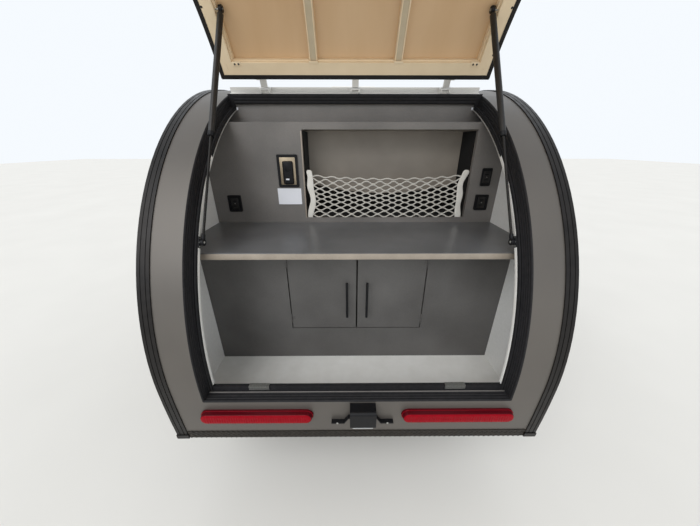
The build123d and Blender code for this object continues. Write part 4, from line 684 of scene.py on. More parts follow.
LINING_INSET = 0.0044
LINING_THICK = 0.001
LINING_WAVE = 0.0008
LINING_LAP = 0.002
lining_half = HATCH_HALF - HATCH_RAIL + LINING_LAP
lining_foot = HATCH_FOOT + HATCH_RAIL - LINING_LAP
lining_head = HATCH_HEAD - HATCH_RAIL + LINING_LAP
lining_x = np.linspace(-lining_half, lining_half, 61)[:, None]
lining_s = np.linspace(lining_foot, lining_head, 81)[None, :]
buckle = LINING_WAVE * np.sin(lining_x * 17) * np.sin(lining_s * 11 + 1.5 * np.sin(lining_x * 5))
low_side = on_hatch(lining_x, lining_s, LINING_INSET + buckle)
high_side = on_hatch(lining_x, lining_s, LINING_INSET + buckle - LINING_THICK)
lining = slab(low_side, high_side - low_side)
piece("hatch_lining", lining, hardboard, "hatch")

# Cargo net: zigzag cords that meet at knots, hung between two webbing hems that bow towards each other
GALLEY_Y = TAIL_Y + 0.640
NET_Y = GALLEY_Y + 0.009
NET_LEFT, NET_RIGHT = -0.2465, 0.557
NET_FOOT, NET_HEAD = BODY_Z + 0.790, BODY_Z + 1.006
HEM_WIDTH, HEM_THICK = 0.029, 0.0028
HEM_BOW = 0.015
NET_DROP, NET_SAG = 0.016, 0.017
NET_BELLY = 0.003
NET_ROWS = 14
NET_PERIOD = 0.066
ZIGZAG, HEAD_ZIGZAG = 0.42, 0.55
CORD_RADIUS = 0.0033


def hem_x(side, t):
    """Inner line of a hem: straight at the hooks, bowed inwards by the cords' pull between them."""
    pull = HEM_BOW * np.sin(pi * np.clip(t, 0, 1)) ** 1.2 + 0.004 * np.sin(9 * t + side)
    return np.where(side < 0, NET_LEFT + HEM_WIDTH + pull, NET_RIGHT - HEM_WIDTH - pull)


def net_z(u, t):
    """Height of a net row: t from foot to head, the head sagging as a chain does between its hooks."""
    squeeze = t + 0.035 * np.sin(2 * pi * t)
    head = NET_HEAD - NET_DROP - NET_SAG * (1 - np.abs(2 * u - 1) ** 2.2)
    return NET_FOOT + squeeze * (head - NET_FOOT)


def net_points(u, t, swing):
    """Points of a cord: (hem to hem by u, row by t) plus its zigzag and a soft belly out of the plane."""
    x = hem_x(-1, t) + u * (hem_x(1, t) - hem_x(-1, t))
    z = net_z(u, t) + swing
    y = NET_Y - NET_BELLY * np.sin(pi * u) * np.sin(pi * t)
    return np.stack(np.broadcast_arrays(x, y, z), -1)


periods = round((NET_RIGHT - NET_LEFT - 2 * HEM_WIDTH) / NET_PERIOD)
share = np.linspace(0, 1, periods * 10 + 1)
wander = 0.10 * np.sin(share * 23) + 0.08 * np.sin(share * 41 + 2)
cords = []
gap = (NET_HEAD - NET_FOOT - NET_SAG) / (NET_ROWS - 1)
for row in range(NET_ROWS):
    t = row / (NET_ROWS - 1)
    phase = 2 * pi * periods * share + wander + 0.15 * np.sin(row * 2.1)
    wave = np.cos(phase)
    swing = ZIGZAG * gap * (-1) ** row * np.sign(wave) * np.abs(wave) ** 0.8
    if row == NET_ROWS - 1:
        swing = swing * HEAD_ZIGZAG
    cords.append(tube(net_points(share, t, swing), CORD_RADIUS, 6, AHEAD))
net = joined(*cords)
piece("cargo_net_cords", net, cord_fibre, "chassis", replaces=("cargo_net",), sharp=80)

HEM_STEPS = 16
hems = []
for side in (-1, 1):
    t = np.linspace(-0.03, 1.05, 40)
    inner = hem_x(side, t) + side * -0.002
    outer = inner + side * HEM_WIDTH * (1 + 0.10 * np.sin(t * 13 + side))
    z = NET_FOOT + t * (NET_HEAD - NET_FOOT)
    around = np.linspace(0, 2 * pi, HEM_STEPS, endpoint=False)
    mid, half = (inner + outer) / 2, np.abs(outer - inner) / 2
    half = half * (0.45 + 0.55 * np.sqrt(np.clip((1.05 - t) / 0.04, 0, 1)))
    x = mid[:, None] + half[:, None] * np.sign(np.cos(around)) * np.abs(np.cos(around)) ** 0.5
    thick = HEM_THICK + 0.0008 * np.sin(t * 21)[:, None]
    y = NET_Y + thick * np.sin(around) - NET_BELLY * np.sin(pi * np.clip(t, 0, 1))[:, None]
    z = np.repeat(z[:, None], HEM_STEPS, 1)
    hems.append(sheet(np.stack([x, y, z], -1), wrap_columns=True, ends=True))
piece("cargo_net_hems", joined(*hems), webbing, "chassis", sharp=60)

# Tail lamps: stadium-shaped mouldings, P = centre + outline inset by d, out by a depth that rises with d, in
# a flange, a drafted wall, a round edge and a front with upright flutes
LAMP_INNER, LAMP_OUTER = 0.175, 0.620
LAMP_HEIGHT = 0.058
LAMP_MID_Z = BODY_Z + 0.150
LAMP_DEEP = 0.0238
LAMP_STEPS, LAMP_BEND = 376, 16
FLUTE_PITCH = 0.0095
FLUTE_RISE = 0.0009
FLUTE_FROM, FLUTE_FADE = 0.008, 0.004
lamp_half = (LAMP_OUTER - LAMP_INNER) / 2
lamp_end = LAMP_HEIGHT / 2
lamp_flange = [(0.0, -0.004), (0.0, 0.005), (0.0008, 0.006), (0.0028, 0.006)]
lamp_wall = [(0.0030, 0.0065), (0.0045, 0.0160), (0.0053, 0.0195), (0.0075, 0.0220), (0.0105, 0.0232)]
lamp_front = [(0.0130, 0.0235), (0.018, 0.0237), (0.023, LAMP_DEEP), (0.0275, LAMP_DEEP)]
inset_depth = lamp_flange + lamp_wall + lamp_front + [(lamp_end - 1e-5, LAMP_DEEP)]


def lamp(mid_x):
    """One lens bar about its middle: two straights and two half rounds, at each inset of the profile."""
    straight, ones = np.linspace(-1, 1, LAMP_STEPS), np.ones(LAMP_STEPS)
    bend, round_ones = np.linspace(-pi / 2, pi / 2, LAMP_BEND + 2)[1:-1], np.ones(LAMP_BEND)
    side_x = np.concatenate([straight, round_ones, -straight, -round_ones])
    out_x = np.concatenate([0 * straight, np.cos(bend), 0 * straight, -np.cos(bend)])
    out_z = np.concatenate([-ones, np.sin(bend), ones, -np.sin(bend)])
    inset, depth = np.array(inset_depth).T
    x = side_x * (lamp_half - lamp_end) + (lamp_end - inset)[:, None] * out_x
    z = (lamp_end - inset)[:, None] * out_z
    fluted = np.clip((inset[:, None] - FLUTE_FROM) / FLUTE_FADE, 0, 1)
    y = depth[:, None] + fluted * FLUTE_RISE * (np.abs(np.cos(pi * x / FLUTE_PITCH)) - 0.5)
    return sheet(np.stack([mid_x + x, TAIL_Y - y, LAMP_MID_Z + z], -1), wrap_columns=True, ends=True)


lamp_mid_x = (LAMP_INNER + LAMP_OUTER) / 2
lamps = joined(lamp(-lamp_mid_x), lamp(lamp_mid_x))
piece("tail_lamp_lenses", lamps, lens, "chassis", replaces=("tail_lights",), sharp=50)

# Number plate lamp: a clear lens under the hood, screws in the ears of its strap
PLATE_LAMP_X = 0.020
EAR_REACH = 0.100
ear_head = [(0, -0.001), (0.0042, -0.001), (0.0042, 0.0004), (0.003, 0.0016), (0.0011, 0.0018)]
ear_head += [(0.001, 0.0008), (0, 0.0008)]
hood_lens = block((PLATE_LAMP_X, TAIL_Y - 0.030, BODY_Z + 0.1265), (0.040, 0.013, 0.0035), 0.002)
piece("plate_lamp_lens", hood_lens, frosted, "chassis")
ear_screw = turned(ear_head, (0, 0, 0), -AHEAD, ACROSS, 12)
ear_places = [(PLATE_LAMP_X + reach, TAIL_Y - 0.014, BODY_Z + 0.1146) for reach in (-EAR_REACH, EAR_REACH)]
piece("plate_lamp_screws", stamped(ear_screw, ear_places), zinc, "chassis")

# Tread strip along the body's foot: raised bars in alternating slants, and a row of pan-head screws
STRIP_HALF = HALF_WIDTH - 0.044
STRIP_THICK = 0.0025
STRIP_HEIGHT = 0.042
BAR_LONG, BAR_WIDE, BAR_RISE = 0.0125, 0.0032, 0.0014
bar_turn = np.linspace(0, 2 * pi, 8, endpoint=False)
bar_flat = np.stack([BAR_LONG * np.cos(bar_turn), BAR_WIDE * np.sin(bar_turn), 0 * bar_turn], -1)
bar_foot = bar_flat - 0.0006 * UP
bar_shoulder = bar_flat * (0.9, 0.9, 1) + 0.0005 * UP
bar_crest = bar_flat * (0.62, 0.45, 1) + BAR_RISE * UP
bar = sheet(np.stack([bar_foot, bar_shoulder, bar_crest]), wrap_columns=True, ends=True)
bar_rows = 4
bar_pitch = STRIP_HEIGHT / bar_rows
strip_foot = along_at(BODY_Z)
bar_columns = np.arange(-STRIP_HALF + 0.012, STRIP_HALF - 0.010, 2 * bar_pitch)
bar_x, bar_row = np.meshgrid(bar_columns, np.arange(bar_rows))
bar_x = (bar_x + bar_pitch * (bar_row % 2)).ravel()
bar_s = (strip_foot + (bar_row + 0.5) * bar_pitch).ravel()
slant = np.where(bar_row.ravel() % 2 == 0, 1, -1) * radians(45)
spots, axes = frame_at(on_skin, bar_x, bar_s, -STRIP_THICK)
across, ahead, outward = axes[:, 0], axes[:, 1], -axes[:, 2]
turned_across = np.cos(slant)[:, None] * across + np.sin(slant)[:, None] * ahead
turned_ahead = np.cos(slant)[:, None] * ahead - np.sin(slant)[:, None] * across
bars = stamped(bar, spots, np.stack([turned_across, turned_ahead, outward], 1))
piece("tread_bars", bars, tread_metal, "chassis")
strip_screw_x = np.linspace(-0.640, 0.640, 7)
strip_screw_s = strip_foot + STRIP_HEIGHT - 0.009
strip_screws = screws(on_skin, strip_screw_x, strip_screw_s, -STRIP_THICK, 0.0045, -0.002)
piece("tread_strip_screws", strip_screws, powder, "chassis")

# Plates on the backsplash: a bronze face with its controller, a blank card, and two-slot outlets
PLATE_BED = GALLEY_Y - 0.003
CONTROL_X, CONTROL_Z = -0.3255, BODY_Z + 1.012
control_face = block((CONTROL_X, PLATE_BED - 0.0005, CONTROL_Z), (0.0372, 0.0016, 0.0627), 0.0012)
piece("control_face", control_face, bronze, "chassis")
case_mid = (CONTROL_X + 0.002, PLATE_BED - 0.008, CONTROL_Z - 0.007)
case = block(case_mid, (0.0255, 0.0085, 0.0535), 0.0080, steps=4)
dial_mid = (CONTROL_X + 0.003, PLATE_BED - 0.0165, CONTROL_Z + 0.018)
dial = block(dial_mid, (0.0135, 0.002, 0.018), 0.0018)
piece("controller", joined(case, dial), abs_black, "chassis")
# The white button low on the controller stands for a glint on its case: a painted highlight
glint_mid = (CONTROL_X - 0.001, PLATE_BED - 0.0170, CONTROL_Z - 0.036)
control_glint = block(glint_mid, (0.0085, 0.0016, 0.0036), 0.0015, steps=3)
piece("controller_glint_button", control_glint, card_stock, "chassis")

CARD_LEFT, CARD_RIGHT, CARD_FOOT, CARD_HEAD = -0.386, -0.269, BODY_Z + 0.853, BODY_Z + 0.931
CARD_WIDE = CARD_RIGHT - CARD_LEFT
card_x = np.linspace(CARD_LEFT, CARD_RIGHT, 16)[None, :]
card_t = np.linspace(0, 1, 12)[:, None]
card_z = CARD_FOOT + card_t * (CARD_HEAD - CARD_FOOT)
lift = 0.0012 + 0.0035 * (1 - card_t) ** 2 * (0.4 + 0.6 * np.sin(pi * (card_x - CARD_LEFT) / CARD_WIDE))
card_grid = np.stack(np.broadcast_arrays(card_x, GALLEY_Y - lift, card_z), -1)
piece("blank_card", slab(card_grid, 0.0004 * AHEAD), card_stock, "chassis")

# A small zinc spot in the middle of each outlet stands for its grey glint: a painted highlight
OUTLET_PLATES = ((-0.608, 0.8565), (0.641, 0.861), (0.642, 0.984))
SLOT_DROP = 0.0125
outlet_faces, outlet_slots, outlet_glints = [], [], []
for x, height in OUTLET_PLATES:
    z = BODY_Z + height
    outlet_faces.append(block((x, PLATE_BED - 0.0012, z), (0.0180, 0.0030, 0.0275), 0.0022, steps=3))
    for drop in (-SLOT_DROP, SLOT_DROP):
        outlet_slots.append(block((x, PLATE_BED - 0.0040, z + drop), (0.0095, 0.0010, 0.0035), 0.0008))
    outlet_glints.append(block((x + 0.001, PLATE_BED - 0.0042, z), (0.0028, 0.0008, 0.0016), 0.0007))
piece("outlet_faces", joined(*outlet_faces), enamel, "chassis")
piece("outlet_slots", joined(*outlet_slots), abs_black, "chassis")
piece("outlet_glints", joined(*outlet_glints), zinc, "chassis")

# Gas struts: moulded ball sockets at both ends, a guide cap where the rod enters, and plates on the jamb
STRUT_TOP_X, STRUT_FOOT_X = 0.505, 0.561
STRUT_TOP_S = radians(56.75) * TAIL_RADIUS
STRUT_FOOT_S = radians(29.5) * TAIL_RADIUS
STRUT_TOP_INSET, STRUT_FOOT_INSET = 0.021, 0.0533
STRUT_TUBE_LENGTH = 0.472
JAMB_HALF = 0.574
PLATE_SCREW_STEP = 0.015
socket_profile = [(0, -0.0068), (0.0112, -0.0068), (0.0125, -0.0052), (0.0125, 0.0048), (0.0112, 0.0066)]
socket_profile += [(0.0078, 0.0068), (0.0068, 0.0055), (0, 0.0052)]
ball_profile = [(0, 0.004), (0.0052, 0.004), (0.0048, 0.0066), (0.0034, 0.0080), (0.0012, 0.0087)]
ball_profile += [(0, 0.0088)]
cap_profile = [(0.0052, -0.010), (0.0117, -0.010), (0.0117, 0.003), (0.0100, 0.006), (0.0052, 0.006)]
neck_profile = [(0, -0.030), (0.0056, -0.030), (0.0072, -0.026), (0.0078, -0.014), (0.0060, -0.008)]
neck_profile += [(0, -0.008)]
flat_head = [(0, -0.001), (0.0035, -0.001), (0.0035, 0.0004), (0.0022, 0.0014), (0, 0.0014)]
balls, plates, plate_screws = [], [], []
for side, word in SIDES:
    rod, cylinder = f"strut_rod_{word}", f"strut_tube_{word}"
    top = on_hatch(side * STRUT_TOP_X, STRUT_TOP_S, STRUT_TOP_INSET)
    foot = on_skin(side * STRUT_FOOT_X, STRUT_FOOT_S, STRUT_FOOT_INSET)
    along = (foot - top) / np.linalg.norm(foot - top)
    middle = -side * ACROSS
    foot_socket = turned(socket_profile, foot, middle, AHEAD, 24)
    neck = turned(neck_profile, foot, along, ACROSS, 20)
    piece(f"strut_foot_socket_{word}", joined(foot_socket, neck), abs_black, rod)
    top_socket = turned(socket_profile, top, middle, AHEAD, 24)
    guide = turned(cap_profile, top + STRUT_TUBE_LENGTH * along, along, ACROSS, 28, ring=True)
    piece(f"strut_top_socket_{word}", joined(top_socket, guide), abs_black, cylinder)
    balls.append(turned(ball_profile, foot, middle, AHEAD, 20))
    spot, axes = frame_at(on_skin, side * (JAMB_HALF - 0.0012), STRUT_FOOT_S, STRUT_FOOT_INSET)
    plates.append(block(spot, (0.0016, 0.021, 0.0062), 0.001, axes))
    for step in (-PLATE_SCREW_STEP, PLATE_SCREW_STEP):
        at = spot + step * axes[1] - side * 0.0014 * axes[0]
        plate_screws.append(turned(flat_head, at, middle, AHEAD, 12))
piece("strut_balls", joined(*balls), zinc, "chassis")
piece("strut_foot_plates", joined(*plates), powder, "chassis")
piece("strut_plate_screws", joined(*plate_screws), zinc, "chassis")

# Jamb: a pale lip along each flank's inner edge, a block at its head, and the wall's white return below it,
# from the sill to the lip's foot, which is a length along the skin
LIP_INSET, LIP_END = 0.0568, 0.0612
LIP_FOOT = 0.9579
RETURN_INSET = 0.0475
lip_profile = [(0.0006, LIP_INSET), (-0.0012, LIP_INSET), (-0.0016, 0.059), (-0.0012, LIP_END)]
lip_profile += [(0.0006, LIP_END)]
return_profile = [(0.0006, RETURN_INSET), (-0.0006, RETURN_INSET), (-0.0009, 0.0485), (-0.0009, 0.0602)]
return_profile += [(-0.0006, LIP_END), (0.0006, LIP_END)]


def jamb_strip(side, along, profile):
    """A strip on one jamb: the profile (sideways from its face, inset) carried up the skin."""
    profile = np.array(profile)
    x = side * (JAMB_HALF + profile[None, :, 0])
    return sheet(on_skin(x, along[:, None], profile[None, :, 1]), wrap_columns=True, ends=True)


lip_s = np.linspace(LIP_FOOT, OPENING_HEAD + 0.004, 60)
return_s = np.linspace(along_at(SILL_TOP) + 0.006, LIP_FOOT, 70)
lips = [jamb_strip(side, lip_s, lip_profile) for side in (-1, 1)]
returns = [jamb_strip(side, return_s, return_profile) for side in (-1, 1)]
lip_ends = []
for side in (-1, 1):
    spot, axes = frame_at(on_skin, side * (JAMB_HALF - 0.003), lip_s[-1], 0.055)
    lip_ends.append(block(spot, (0.004, 0.006, 0.006), 0.002, axes))
piece("jamb_lips", joined(*lips), mill, "chassis")
piece("wall_returns", joined(*returns), panel_white, "chassis")
piece("jamb_lip_ends", joined(*lip_ends), card_stock, "chassis")

# Hatch frame: screws along its rails, gussets in its corners and foot tabs at the ends of its ribs
RAIL_HALF = HATCH_RAIL / 2
RIB_X = 0.180
RAIL_SCREWS = 9
side_rail_x = HATCH_HALF - RAIL_HALF
rail_s = np.linspace(HATCH_FOOT + 0.09, HATCH_HEAD - 0.09, RAIL_SCREWS)
cross_x = [-0.45, -0.33, -0.09, 0.09, 0.33, 0.45]
screw_x = np.concatenate([np.full(RAIL_SCREWS, -side_rail_x), np.full(RAIL_SCREWS, side_rail_x), cross_x])
screw_s = np.concatenate([rail_s, rail_s, np.full(len(cross_x), HATCH_FOOT + RAIL_HALF)])
rail_screws = screws(on_hatch, screw_x, screw_s, HATCH_THICK, 0.0042, 0.0014)
piece("hatch_rail_screws", rail_screws, powder, "hatch")

INNER_RAIL = 0.024
LIP_WIDE, LIP_DROP = 0.0065, 0.012
LINING_FACE = 0.0046
inner_rail_profile = [
    (0.001, LINING_FACE),
    (0.001, HATCH_THICK + 0.0003),
    (-INNER_RAIL + 0.002, HATCH_THICK + 0.0003),
    (-INNER_RAIL, HATCH_THICK - 0.002),
    (-INNER_RAIL, HATCH_THICK - LIP_DROP),
    (-INNER_RAIL - LIP_WIDE, HATCH_THICK - LIP_DROP),
    (-INNER_RAIL - LIP_WIDE, LINING_FACE),
]
rail_inner_edge = HATCH_HALF - HATCH_RAIL
frame_foot, frame_head = HATCH_FOOT + HATCH_RAIL, HATCH_HEAD - HATCH_RAIL
rail_box = (-rail_inner_edge, rail_inner_edge, frame_foot, frame_head)
inner_rails = band(on_hatch, *rail_box, 0.001, inner_rail_profile)
piece("hatch_inner_rails", inner_rails, cream, "hatch")

RIB_FACE = 0.024
lip_section = [(0.0115, 0.0), (0.0115, 0.0036), (0.0125, 0.0046), (0.0150, 0.0046)]
lip_section += [(0.0165, 0.0034), (0.0168, 0.0)]
bed_section = [(-0.0118, 0.0), (-0.0118, 0.0018), (0.0118, 0.0018), (0.0118, 0.0)]


def rib_strip(rib, side, section):
    """A strip on one rib of the hatch: the section (sideways, up from the rib) carried up the skin."""
    section = np.array(section)
    x = rib + side * section[None, :, 0]
    s = np.linspace(frame_foot, frame_head, 80)[:, None]
    return sheet(on_hatch(x, s, RIB_FACE + section[None, :, 1]), wrap_columns=True, ends=True)


channel_lips = [rib_strip(rib, side, lip_section) for rib in (-RIB_X, RIB_X) for side in (-1, 1)]
# The channel beds wear the darker coat: a painted shade along each channel's floor, between its lips
channel_beds = [rib_strip(rib, 1, bed_section) for rib in (-RIB_X, RIB_X)]
piece("rib_channel_lips", joined(*channel_lips), cream, "hatch")
piece("rib_channel_shaded_beds", joined(*channel_beds), shade_cream, "hatch")

TAB_FACE = HATCH_THICK + 0.0006
GUSSET_STEP, GUSSET_SCREW = 0.006, 0.008
tabs, tab_screw_x, tab_screw_s = [], [], []
for s_mid, ahead in ((frame_head - INNER_RAIL, -1), (frame_foot + INNER_RAIL, 1)):
    gusset_s = s_mid - ahead * GUSSET_STEP
    for side in (-1, 1):
        spot, axes = frame_at(on_hatch, side * RIB_X, s_mid, TAB_FACE)
        tabs.append(block(spot, (0.0190, 0.0055, 0.0012), 0.0009, axes))
        corner_x = side * (rail_inner_edge - INNER_RAIL - 0.020)
        spot, axes = frame_at(on_hatch, corner_x, gusset_s, TAB_FACE)
        tabs.append(block(spot, (0.0180, 0.0090, 0.0012), 0.0009, axes))
        tab_screw_x += [corner_x - GUSSET_SCREW, corner_x + GUSSET_SCREW]
        tab_screw_s += [gusset_s, gusset_s]
piece("hatch_tabs", joined(*tabs), cream, "hatch")
tab_screws = screws(on_hatch, tab_screw_x, tab_screw_s, TAB_FACE + 0.001, 0.004, 0.0014)
piece("hatch_tab_screws", tab_screws, powder, "hatch")

# Counter: a band on its front in the paler laminate, a painted highlight along its lit edge
COUNTER_FRONT = TAIL_Y + 0.20813
COUNTER_TOP = BODY_Z + 0.757
COUNTER_THICK = 0.027
INNER_HALF = 0.712
band_mid = (0, COUNTER_FRONT + 0.0004, COUNTER_TOP - COUNTER_THICK / 2)
counter_band = block(band_mid, (INNER_HALF - 0.001, 0.0010, COUNTER_THICK / 2 - 0.0018), 0.0008)
piece("counter_edge_band", counter_band, lit_edge_finish, "chassis")

# Cubby: a black felt sheet on its floor and sides and up behind the net, cut in a shallow curve, a painted
# shade of the deep cubby; a paler edge band at left, a painted highlight
CUBBY_LEFT, CUBBY_RIGHT, CUBBY_FOOT, CUBBY_TALL = -0.248, 0.566, BODY_Z + 0.783, 0.404
CUBBY_WIDE = CUBBY_RIGHT - CUBBY_LEFT
CUBBY_BACK = GALLEY_Y + 0.175
SHADE_FELT_THICK = 0.003
SHADE_FELT_TALL, SHADE_FELT_DIP = 0.155, 0.060
shade_felt_x = np.linspace(CUBBY_LEFT + 0.001, CUBBY_RIGHT - 0.001, 60)[None, :]
shade_felt_t = np.linspace(0, 1, 14)[:, None]
shade_felt_head = SHADE_FELT_TALL - SHADE_FELT_DIP * np.sin(pi * (shade_felt_x - CUBBY_LEFT) / CUBBY_WIDE) ** 0.8
shade_felt_z = CUBBY_FOOT + 0.0005 + shade_felt_t * shade_felt_head + 0.001 * np.sin(40 * shade_felt_x)
shade_felt_y = GALLEY_Y + 0.020 + shade_felt_t * (CUBBY_BACK - GALLEY_Y - 0.022)
back_grid = np.stack(np.broadcast_arrays(shade_felt_x, CUBBY_BACK - 0.0035, shade_felt_z), -1)
floor_grid = np.stack(np.broadcast_arrays(shade_felt_x, shade_felt_y, CUBBY_FOOT + 0.0035), -1)
shade_felts = [slab(back_grid, SHADE_FELT_THICK * AHEAD), slab(floor_grid, -SHADE_FELT_THICK * UP)]
for x, inwards in ((CUBBY_LEFT + 0.0005, 1), (CUBBY_RIGHT - 0.0005, -1)):
    side_z = CUBBY_FOOT + 0.001 + np.linspace(0, CUBBY_TALL, 12)[None, :]
    side_grid = np.stack(np.broadcast_arrays(x, shade_felt_y, side_z), -1)
    shade_felts.append(slab(side_grid, inwards * SHADE_FELT_THICK * ACROSS))
piece("cubby_shade_felt", joined(*shade_felts), shade_felt, "chassis")
edge_mid = (CUBBY_LEFT - 0.0035, GALLEY_Y - 0.0003, CUBBY_FOOT + CUBBY_TALL / 2)
cubby_edge = block(edge_mid, (0.0032, 0.0009, CUBBY_TALL / 2), 0.0007)
piece("cubby_edge_band", cubby_edge, lit_edge_finish, "chassis")

# Head of the galley's opening: the same ridged extrusion across, under the hinge rail
HEAD_FACE = OPENING_HEAD - 0.006
HEAD_FROM, HEAD_TO = -0.0065, 0.0330
HEAD_PITCH, HEAD_RISE = 0.0132, 0.0026
head_inset = np.linspace(HEAD_FROM, HEAD_TO, 37)
head_ridges = HEAD_RISE * np.abs(np.sin(pi * (head_inset - HEAD_FROM) / HEAD_PITCH)) ** 0.6
head_s = np.concatenate([[HEAD_FACE + 0.001], HEAD_FACE - 0.0004 - head_ridges, [HEAD_FACE + 0.001]])
head_inset = np.concatenate([[HEAD_FROM], head_inset, [HEAD_TO]])
head_x = np.linspace(-0.572, 0.572, 3)[:, None]
head_seal = sheet(on_skin(head_x, head_s[None, :], head_inset[None, :]), wrap_columns=True, ends=True)
piece("opening_head_seal", head_seal, rubber, "chassis")

# Hatch latches: a lift paddle in each cup, with its lock
LATCH_X = 0.392
LOCK_PROFILE = [(0, -0.001), (0.0085, -0.001), (0.0085, 0.0022), (0.0074, 0.0032), (0.0040, 0.0034),
                (0.0036, 0.0026), (0.0016, 0.0026), (0.0012, 0.0012), (0, 0.0012)]
paddles, locks = [], []
for side in (-1, 1):
    spot, axes = frame_at(on_hatch, side * LATCH_X, -0.003, -0.0070)
    paddles.append(block(spot, (0.037, 0.0155, 0.0030), 0.0022, axes, steps=3))
    grip = spot - 0.0120 * axes[1] - 0.0035 * axes[2]
    paddles.append(block(grip, (0.033, 0.0030, 0.0022), 0.0018, axes, steps=3))
    lock_foot = spot + 0.0040 * axes[1] - 0.0030 * axes[2]
    locks.append(turned(LOCK_PROFILE, lock_foot, -axes[2], ACROSS, 28))
piece("hatch_latch_paddles", joined(*paddles), powder, "hatch")
piece("hatch_latch_locks", joined(*locks), zinc, "hatch")

# Side doors: an edge moulding, window gasket and sliding pane, a handle's lever and lock, caps and screws


def on_side(side):
    """Points on a side wall: along, up, and a distance outwards of the trailer's middle plane."""
    return lambda y, z, outward: np.stack(np.broadcast_arrays(side * np.asarray(outward, float), y, z), -1)


DOOR_FACE = 0.754
DOOR_Y0, DOOR_Y1 = TAIL_Y + 1.700, TAIL_Y + 2.340
DOOR_Z0, DOOR_Z1 = BODY_Z + 0.190, BODY_Z + 1.0396
DOOR_CORNER = 0.090
DOOR_FRAME_MID = 0.018
WINDOW_Y, WINDOW_Z = TAIL_Y + 2.020, BODY_Z + 0.8296
WINDOW_HALF_Y, WINDOW_HALF_Z, WINDOW_LAP = 0.200, 0.150, 0.008
ROLL_HALF_Y, ROLL_HALF_Z, ROLL_CORNER = 0.226, 0.176, 0.086
GASKET_CORNER, PANE_CORNER = 0.052, 0.010
HANDLE_Y, HANDLE_Z, HANDLE_BED = TAIL_Y + 1.762, BODY_Z + 0.5588, 0.760
HINGE_LINE_Y, HINGE_LINE_X = TAIL_Y + 2.343, 0.761
HINGE_LEVELS = DOOR_Z0 + np.array([0.18, 0.82]) * (DOOR_Z1 - DOOR_Z0)
HINGE_HALF = 0.035
LEAF_FACE, LEAF_SCREW = 0.757, 0.016
door_edge_profile = [(-0.0004, 0.7535), (-0.0004, 0.7552), (-0.0016, 0.7562), (-0.0085, 0.7562)]
door_edge_profile += [(-0.0098, 0.7553), (-0.0145, 0.7553), (-0.0158, 0.7560), (-0.0185, 0.7558)]
door_edge_profile += [(-0.0195, 0.7535)]
gasket_profile = [(0.0005, 0.7538), (0.0005, 0.7594), (-0.0012, 0.7602), (-0.0034, 0.7590)]
gasket_profile += [(-0.0046, 0.7562), (-0.0046, 0.7538)]
roll_profile = [(-0.0006, 0.7585), (-0.0006, 0.7596), (-0.0022, 0.7603), (-0.0052, 0.7600)]
roll_profile += [(-0.0062, 0.7592), (-0.0062, 0.7585)]
pane_profile = [(0.0, 0.7538), (0.0, 0.7552), (-0.0010, 0.7558), (-0.0080, 0.7558)]
pane_profile += [(-0.0090, 0.7550), (-0.0090, 0.7538)]
cap_dome = [(0, -0.001), (0.0056, -0.001), (0.0052, 0.0014), (0.0030, 0.0026), (0, 0.0030)]
half_y, half_z = WINDOW_HALF_Y - WINDOW_LAP, WINDOW_HALF_Z - WINDOW_LAP
gasket_box = (WINDOW_Y - half_y, WINDOW_Y + half_y, WINDOW_Z - half_z, WINDOW_Z + half_z)
roll_box = (WINDOW_Y - ROLL_HALF_Y, WINDOW_Y + ROLL_HALF_Y, WINDOW_Z - ROLL_HALF_Z, WINDOW_Z + ROLL_HALF_Z)
pane_box = (WINDOW_Y - 0.006, WINDOW_Y + half_y - 0.004, WINDOW_Z - half_z + 0.004, WINDOW_Z + half_z - 0.004)
frame_y = (DOOR_Y0 - DOOR_FRAME_MID, DOOR_Y1 + DOOR_FRAME_MID)
frame_z = (DOOR_Z0 - DOOR_FRAME_MID, DOOR_Z1 + DOOR_FRAME_MID)
frame_line = loop(*frame_y, *frame_z, DOOR_CORNER + DOOR_FRAME_MID, step=0.16, turns=3)[0]
off_hinges = np.min(np.abs(frame_line[:, 1:] - HINGE_LEVELS), axis=1) > 0.06
frame_line = frame_line[off_hinges | (frame_line[:, 0] < DOOR_Y1)]
leaf_z = (HINGE_LEVELS[:, None] + np.array([-0.024, 0.0, 0.024])).ravel()
hinge_caps, frame_screws = [], []
